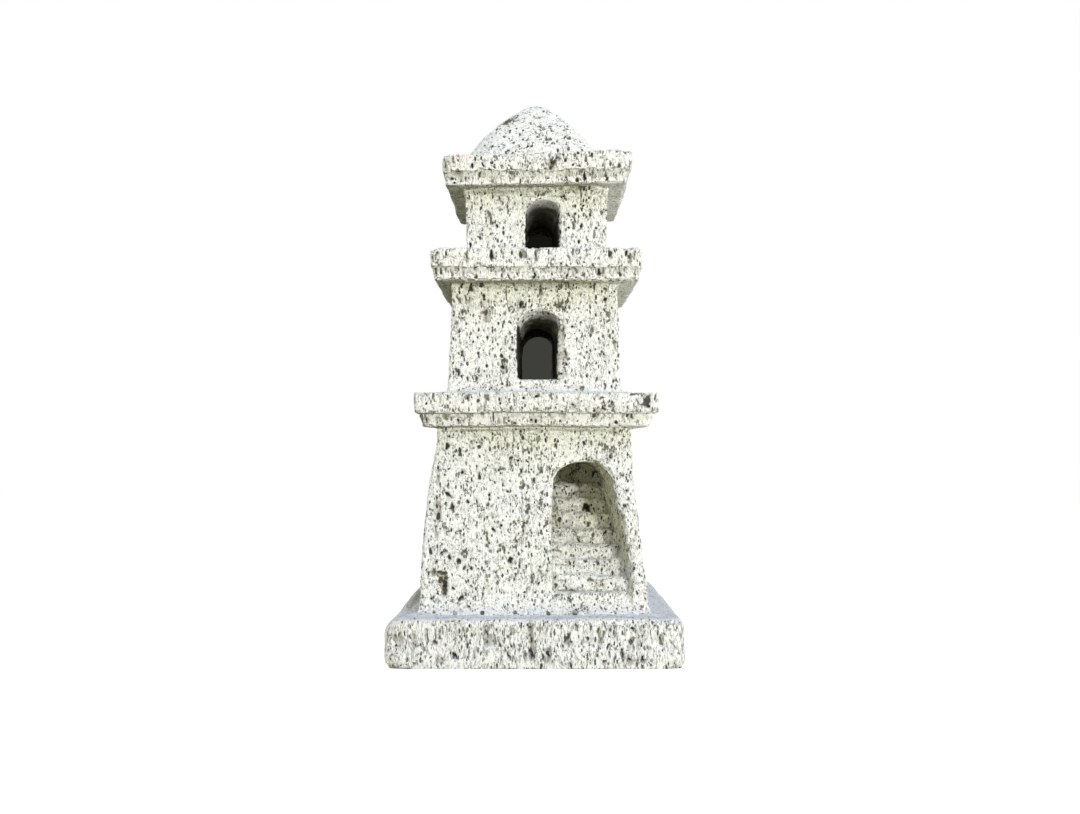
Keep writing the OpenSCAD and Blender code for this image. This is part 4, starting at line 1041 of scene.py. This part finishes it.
# Tinted patches: picture place, half width, half height, strength, hue (0 olive, 0.5 brown, 1 pink).
TINTS = {
    "upper_cornice_slab": [(457.5, 155.5, 3.0, 4.6, 0.55, 1.0), (464.5, 159.5, 3.6, 4.6, 0.50, 1.0), (460, 165, 2.6, 3.4, 0.35, 0.9), (446, 165, 5, 9, 0.5, 0.3), (552.4, 161, 5.0, 9.5, 0.80, 0.3)],
    "upper_storey": [(579, 190, 5, 7, 0.5, 0.4), (500, 195, 14, 6, 0.25, 0.1), (600, 196, 12, 8, 0.22, 0.1)],
    "middle_storey": [(562.5, 331, 2.6, 13, 0.60, 0.1), (563.8, 355, 3.0, 8, 0.65, 0.1), (560, 303, 9, 6, 0.35, 0.4), (540, 295, 6, 6, 0.3, 0.5), (486, 316, 5, 11, 0.4, 0.2), (468, 300, 8, 14, 0.25, 0.1)],
    "middle_cornice_slab": [(629, 259, 4, 6, 0.5, 0.3), (440, 266, 5, 5, 0.4, 0.3)],
    "lower_cornice_slab": [(574, 405, 7, 5, 0.35, 0.1), (596, 410, 6, 4, 0.3, 0.1)],
    "lower_cornice_band": [(426, 422, 6, 6, 0.5, 0.15), (515, 423, 5, 3, 0.4, 0.5)],
    # the olive patch at (630.6, 596) paints the shade of the niche's right jamb down to its foot
    "lower_storey": [(444, 583, 4.4, 12, 0.80, 0.40), (437, 508, 4, 14, 0.5, 0.2), (630.6, 596, 2.6, 9, 0.45, 0.15), (615, 433, 6, 5, 0.4, 0.1), (636, 535, 3, 6, 0.35, 0.6)],
    "plinth": [(530, 630, 4.2, 12, 0.60, 0.12), (629, 655, 5, 8, 0.35, 0.5), (435, 641, 4, 4, 0.2, 0.5), (605, 660, 5, 5, 0.18, 0.45), (588, 640, 4, 5, 0.15, 0.5)],
}


def place(stone, px, py):
    """The point of a stone's front face that shows at a picture point."""
    y = front_plane(stone.node, 60.0)
    for _ in range(3):
        x, z = seen_at(px, py, y)
        y = front_plane(stone.node, z)
    at = np.array([[x, y, z]])
    for _ in range(3):
        off = uneven(at)[0]
        at[0, 0] += x - off[0]
        at[0, 2] += z - off[2]
    return at[0, 0], y, at[0, 2], (y - EYE_Y) / FOCAL_PX


def pick(stone, px, py):
    """The point of a stone's surface that shows at a picture point, on any of its faces."""
    if not hasattr(stone, "view"):
        q = uneven(stone.p)
        far = q[:, 1] - EYE_Y
        u = VANISH[0] + q[:, 0] / far * FOCAL_PX
        v = VANISH[1] - (q[:, 2] - EYE_Z) / far * FOCAL_PX
        to_eye = np.array([0.0, EYE_Y, EYE_Z]) - q
        facing = (stone.n * to_eye).sum(1) > 0.05 * np.linalg.norm(to_eye, axis=1)
        stone.view = u, v, far, facing & ~stone.hidden
    u, v, far, facing = stone.view
    d = np.where(facing, np.hypot(u - px, v - py), 1e9)
    near = np.nonzero(d < d.min() + 1.5)[0]
    i = near[np.argmin(far[near])]
    return (*stone.p[i], far[i] / FOCAL_PX)


def carve(stone, x, y, z, s, m):
    tone, turn = m[5], m[6] if len(m) > 6 else 0.0
    w, h = 0.94 * m[2] * s, 0.94 * m[3] * s
    r = (max(w, 0.24), max(w, 0.6), max(h, 0.24))
    if tone is not None and 0.34 < tone < 0.8 and m[2] * m[3] > 7.0:
        # a recess with a stained floor and a dark upper end
        stone.dent((x, y, z), r, m[4], None, turn, steep=0.6)
        stone.tint((x, y, z), (0.95 * r[0], 1.6, 0.95 * r[2]), 0.95, 0.15 if tone < 0.5 else 0.45)
        stone.dent((x, y, z + 0.35 * r[2]), (0.55 * r[0], 0.6, 0.45 * r[2]), m[4], tone, turn)
    else:
        stone.dent((x, y, z), r, m[4], tone, turn, steep=0.6)


def carve_marks(stone):
    for m in MARKS.get(stone.node, ()):
        carve(stone, *place(stone, m[0], m[1]), m)
    for m in SPOTS.get(stone.node, ()):
        carve(stone, *pick(stone, m[0], m[1]), m)
    for px, py, w, h, depth, tone in RINGS.get(stone.node, ()):
        x, y, z, s = place(stone, px, py)
        stone.dent((x, y, z), (w * s, 1.6, h * s), depth, tone, ring=True, weak=0.22)
    for w, depth, tone, path in CRACKS.get(stone.node, ()):
        for (ax, ay), (bx, by) in zip(path, path[1:]):
            steps = max(2, int(math.hypot(bx - ax, by - ay) / 1.2))
            for k in range(steps):
                x, y, z, s = place(stone, ax + (bx - ax) * k / steps, ay + (by - ay) * k / steps)
                stone.dent((x, y, z), (max(w * s, 0.22), 0.6, max(1.1 * s, 0.3)), depth, tone, weak=0.32)
    for px, py, w, h, amount, hue in TINTS.get(stone.node, ()):
        x, y, z, s = place(stone, px, py)
        stone.tint((x, y, z), (w * s, 1.6, h * s), amount, hue)


# ---------------------------------------------------------------------------
# The stones.
# ---------------------------------------------------------------------------
PLAN = [
    # node, voxel, pores per square mm, pore size, how tall, hollows per square mm, grain, ragged edges, material
    ("plinth", 0.30, 0.07, 0.24, 1.7, 0.0014, 0.32, 1.1, BASE),
    ("lower_storey", 0.33, 0.06, 0.26, 0.8, 0.0010, 0.09, 1.0, WALL),
    ("stair_flight", 0.27, 0.07, 0.25, 0.7, 0.0010, 0.08, 1.2, STEP),
    ("lower_cornice_band", 0.25, 0.06, 0.24, 0.8, 0.0016, 0.10, 1.0, COURSE_LOW_LIGHTENED),
    ("lower_cornice_slab", 0.26, 0.07, 0.24, 0.8, 0.0014, 0.16, 1.5, COURSE),
    ("middle_storey", 0.30, 0.07, 0.26, 0.8, 0.0012, 0.10, 1.0, WALL_MID),
    ("middle_cornice_band", 0.25, 0.06, 0.24, 0.8, 0.0016, 0.10, 1.0, COURSE),
    ("middle_cornice_slab", 0.26, 0.07, 0.24, 0.9, 0.0014, 0.18, 1.6, COURSE),
    ("upper_storey", 0.28, 0.07, 0.25, 0.8, 0.0012, 0.11, 1.0, WALL_TOP),
    ("upper_cornice_band", 0.25, 0.06, 0.24, 0.8, 0.0016, 0.10, 1.0, COURSE),
    ("upper_cornice_slab", 0.25, 0.07, 0.24, 0.9, 0.0014, 0.18, 1.6, COURSE),
    ("dome_cap", 0.26, 0.10, 0.30, 0.6, 0.0010, 0.06, 0.9, CAP),
]
for seed, (node, voxel, pores, size, tall, hollows, grain, ragged, material) in enumerate(PLAN):
    stone = Stone(node, voxel, seed)
    carve_marks(stone)
    if node == "dome_cap":
        # a brown chip on its left outline
        x, y, z, _ = pick(stone, 507.0, 119.5)
        stone.tint((x, y - 1.0, z), (2.6, 7.0, 1.7), 0.9, 0.45)
        stone.dent((x, y - 1.0, z), (2.2, 7.0, 0.95), 0.55, 0.50, -0.52)
    if node == "plinth":
        # painted shadow on the left ledge, in the tower's lee
        stone.tint((-33.0, 3.0, 12.2), (4.6, 28.0, 2.4), 0.95, 0.12)
    stone.scatter_hollows(hollows)
    stone.scatter_pores(pores, size, tall)
    stone.finish(node + "_stone", material, dict(grain=grain, ragged=ragged))


# ---------------------------------------------------------------------------
# Mortar beds: thin sheets with a ragged edge, a little behind the stones' faces.
# ---------------------------------------------------------------------------
def lime_sheet(node, corner, hole, grow):
    lo, hi = (np.array(v) * 1000.0 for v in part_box(node))
    half = (hi[0] - lo[0]) / 2 + grow
    corner += grow
    count = 288
    rng = np.random.default_rng(int(lo[2] * 10))
    a = np.arange(count) / count * 2 * math.pi
    c, s = np.cos(a), np.sin(a)
    # distance from the middle to a square outline with round corners
    far = half / np.maximum(np.abs(c), np.abs(s))
    k = half - corner
    b = k * (np.abs(c) + np.abs(s))
    root = np.sqrt(np.maximum(b * b - (2 * k * k - corner * corner), 0))
    tip = (np.abs(c) * far > k) & (np.abs(s) * far > k)
    far = np.where(tip, b + root, far)
    rag = 0.16 * np.interp(a, np.linspace(0, 2 * math.pi, 97), np.append(r := rng.random(96), r[0])) + 0.06 * rng.random(count)
    rings = []
    thick = hi[2] - lo[2]
    for t, pull in ((0.04, 0.05), (0.30, 0.0), (0.70, 0.0), (0.96, 0.05)):
        q = far - rag - pull
        rings.append(np.stack([c * q, s * q, np.full(count, lo[2] + thick * t)], 1))
    for share in (0.75, 0.35):
        q = hole + (far - rag - hole) * share
        rings.append(np.stack([c * q, s * q, np.full(count, lo[2] + thick * 0.96)], 1))
    rings.append(np.stack([c * hole, s * hole, np.full(count, lo[2] + thick * 0.96)], 1))
    rings.append(np.stack([c * hole, s * hole, np.full(count, lo[2] + thick * 0.04)], 1))
    for share in (0.35, 0.75):
        q = hole + (far - rag - hole) * share
        rings.append(np.stack([c * q, s * q, np.full(count, lo[2] + thick * 0.04)], 1))
    points = uneven(np.concatenate(rings)) / 1000.0
    m = len(rings)
    faces = []
    for i in range(m):
        j = (i + 1) % m
        for k2 in range(count):
            l2 = (k2 + 1) % count
            faces.append((i * count + k2, i * count + l2, j * count + l2, j * count + k2))
    mesh = bpy.data.meshes.new(node + "_lime")
    mesh.from_pydata(points.tolist(), [], faces)
    mesh.update()
    mesh.materials.append(LIME)
    ob = bpy.data.objects.new(node + "_lime", mesh)
    COLLECTION.objects.link(ob)
    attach(ob, "root")
    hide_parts(node)


for node, hole in (
    ("lower_storey_bed", 11.15), ("lower_band_bed", 11.15), ("lower_slab_bed", 11.15),
    ("middle_storey_bed", 9.15), ("middle_band_bed", 9.15), ("middle_slab_bed", 9.15),
    ("upper_storey_bed", 8.15), ("upper_band_bed", 8.15), ("upper_slab_bed", 8.15),
):
    lime_sheet(node, 1.0, hole, 0.0)
lime_sheet("dome_cap_bed", 9.75, 8.15, 0.0)
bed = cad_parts["stair_flight_bed"]
bed.data.materials.clear()
bed.data.materials.append(LIME)

# ---------------------------------------------------------------------------
# Floor, light and camera.
# ---------------------------------------------------------------------------
mesh = bpy.data.meshes.new("floor")
sides = 96
mesh.from_pydata([(1.15 * math.cos(2 * math.pi * k / sides), 1.15 * math.sin(2 * math.pi * k / sides), 0.0) for k in range(sides)], [], [tuple(range(sides))])
floor = bpy.data.objects.new("floor", mesh)
COLLECTION.objects.link(floor)
mat = bpy.data.materials.new("pale_floor")
mat.use_nodes = True
g = Graph(mat.node_tree)
g.tree.nodes.clear()
here = g.add("ShaderNodeTexCoord").outputs["Object"]
away = g.add("ShaderNodeVectorMath", {0: here}, operation="LENGTH").outputs["Value"]
ray = g.add("ShaderNodeLightPath").outputs["Is Camera Ray"]
tone = g.mix(g.range(g.noise(here, 9.0, 3.0), 0.35, 0.65), rgba(0.52, 0.52, 0.505), rgba(0.55, 0.55, 0.54))
lean = g.add("ShaderNodeVectorMath", {0: here, 1: (0.75, -0.66, 0.0)}, operation="DOT_PRODUCT").outputs["Value"]
bounce = g.mix(g.range(lean, -0.05, 0.12), rgba(0.07, 0.07, 0.045), rgba(0.64, 0.61, 0.45))
tone = g.mix(ray, bounce, tone)
near = g.add("ShaderNodeBsdfPrincipled", {"Base Color": tone, "Roughness": 0.8})
near.inputs["Specular IOR Level"].default_value = 0.1
right = g.add("ShaderNodeSeparateXYZ", {0: here}).outputs["X"]
sheet = g.range(right, 0.02, 0.12, 0.0, 0.55)
sheet = g.math("MULTIPLY", sheet, g.math("SUBTRACT", 1.0, ray))
lift = g.add("ShaderNodeEmission", {"Color": rgba(1.0, 1.0, 0.99), "Strength": g.math("MULTIPLY_ADD", ray, 0.80, sheet)})
lit = g.add("ShaderNodeAddShader", {0: near.outputs[0], 1: lift.outputs[0]})
glow = g.mix(g.range(lean, -0.3, 0.3), rgba(0.05, 0.05, 0.035), rgba(0.55, 0.54, 0.46))
far = g.add("ShaderNodeEmission", {"Color": g.mix(ray, glow, rgba(1.0, 1.0, 1.0)), "Strength": 1.0})
both = g.add("ShaderNodeMixShader", {0: g.range(away, 0.2, 1.0), 1: lit.outputs[0], 2: far.outputs[0]})
g.add("ShaderNodeOutputMaterial", {"Surface": both.outputs[0]})
mesh.materials.append(mat)

world = bpy.data.worlds.new("studio")
SCENE.world = world
world.use_nodes = True
g = Graph(world.node_tree)
g.tree.nodes.clear()
way = g.add("ShaderNodeTexCoord").outputs["Generated"]
xyz = g.add("ShaderNodeSeparateXYZ", {0: way})
X, Y, Z = xyz.outputs[0], xyz.outputs[1], xyz.outputs[2]
side = g.add("ShaderNodeVectorMath", {0: way, 1: (0.62, -0.55, 0.56)}, operation="DOT_PRODUCT").outputs["Value"]
bright = g.mix(g.range(Z, 0.25, 0.70), rgba(0.97, 0.96, 0.885), rgba(0.42, 0.48, 0.66))
dim = g.mix(g.range(Z, 0.25, 0.70), rgba(0.15, 0.15, 0.12), rgba(0.13, 0.14, 0.16))
sky = g.mix(g.range(side, -0.55, 0.80), dim, bright)
ray = g.add("ShaderNodeLightPath").outputs["Is Camera Ray"]
dome_light = g.mix(ray, sky, rgba(1.0, 1.0, 1.0))
# painted shade: a dark patch far behind the tower, standing in for a shaded backdrop, which only its through windows
# show
flag = g.math("MULTIPLY", g.range(X, -0.052, -0.030), g.range(X, 0.052, 0.030))
flag = g.math("MULTIPLY", flag, g.range(Z, -0.085, -0.070))
flag = g.math("MULTIPLY", flag, g.range(Z, 0.222, 0.208))
flag = g.math("MULTIPLY", flag, g.range(Y, 0.0, 0.3))
dark = g.mix(g.range(Z, 0.10, 0.19), rgba(0.050, 0.051, 0.045), rgba(0.008, 0.008, 0.006))
dome_light = g.mix(flag, dome_light, dark)
back = g.add("ShaderNodeBackground", {"Color": dome_light, "Strength": 1.0})
g.add("ShaderNodeOutputWorld", {"Surface": back.outputs[0]})


def area(name, place_, aim, size, watts, colour):
    light = bpy.data.lights.new(name, "AREA")
    light.shape, light.size = "DISK", size
    light.energy, light.color = watts, colour
    ob = bpy.data.objects.new(name, light)
    ob.location = place_
    ob.rotation_euler = (Vector(aim) - Vector(place_)).to_track_quat("-Z", "Y").to_euler()
    COLLECTION.objects.link(ob)
    return ob


def around(azimuth, elevation, distance, aim=(0, 0, 0.075)):
    a, e = math.radians(azimuth), math.radians(elevation)
    return (
        aim[0] + distance * math.sin(a) * math.cos(e),
        aim[1] - distance * math.cos(a) * math.cos(e),
        aim[2] + distance * math.sin(e),
    )


area("key", around(21, 6.5, 1.6), (0, 0, 0.07), 0.15, 12.9, (1.0, 0.993, 0.966))
area("top", around(55, 48, 0.9), (0, 0, 0.07), 0.34, 2.1, (0.82, 0.885, 1.0))
area("card", (0.34, -0.05, 0.03), (0.02, 0.0, 0.11), 0.20, 0.12, (1.0, 0.99, 0.97))
area("front", around(-14, 2.5, 1.6), (0, 0, 0.07), 0.6, 2.8, (1.0, 0.985, 0.90))
area("back_right", around(140, 9, 1.6), (0, 0, 0.07), 0.8, 4.5, (1.0, 0.99, 0.965))
area("back_left", around(230, 9, 1.6), (0, 0, 0.07), 0.8, 18.5, (1.0, 0.99, 0.965))
area("fill_left", around(275, 3, 1.6), (0, 0, 0.07), 0.7, 6.0, (1.0, 0.99, 0.97))

camera = bpy.data.cameras.new("camera")
camera.sensor_fit, camera.sensor_width = "HORIZONTAL", 36.0
camera.lens = FOCAL_PX / IMAGE_W * 36.0
camera.shift_x = (IMAGE_W / 2 - VANISH[0]) / IMAGE_W
camera.shift_y = (VANISH[1] - IMAGE_H / 2) / IMAGE_W
camera.clip_start, camera.clip_end = 0.01, 50.0
eye = bpy.data.objects.new("camera", camera)
eye.location = (0.0, EYE_Y / 1000.0, EYE_Z / 1000.0)
eye.rotation_euler = (math.pi / 2, 0.0, 0.0)
COLLECTION.objects.link(eye)
SCENE.camera = eye
SCENE.view_settings.view_transform = "Standard"
SCENE.view_settings.look = "None"
SCENE.view_settings.exposure = 0.0

bpy.context.view_layer.update()
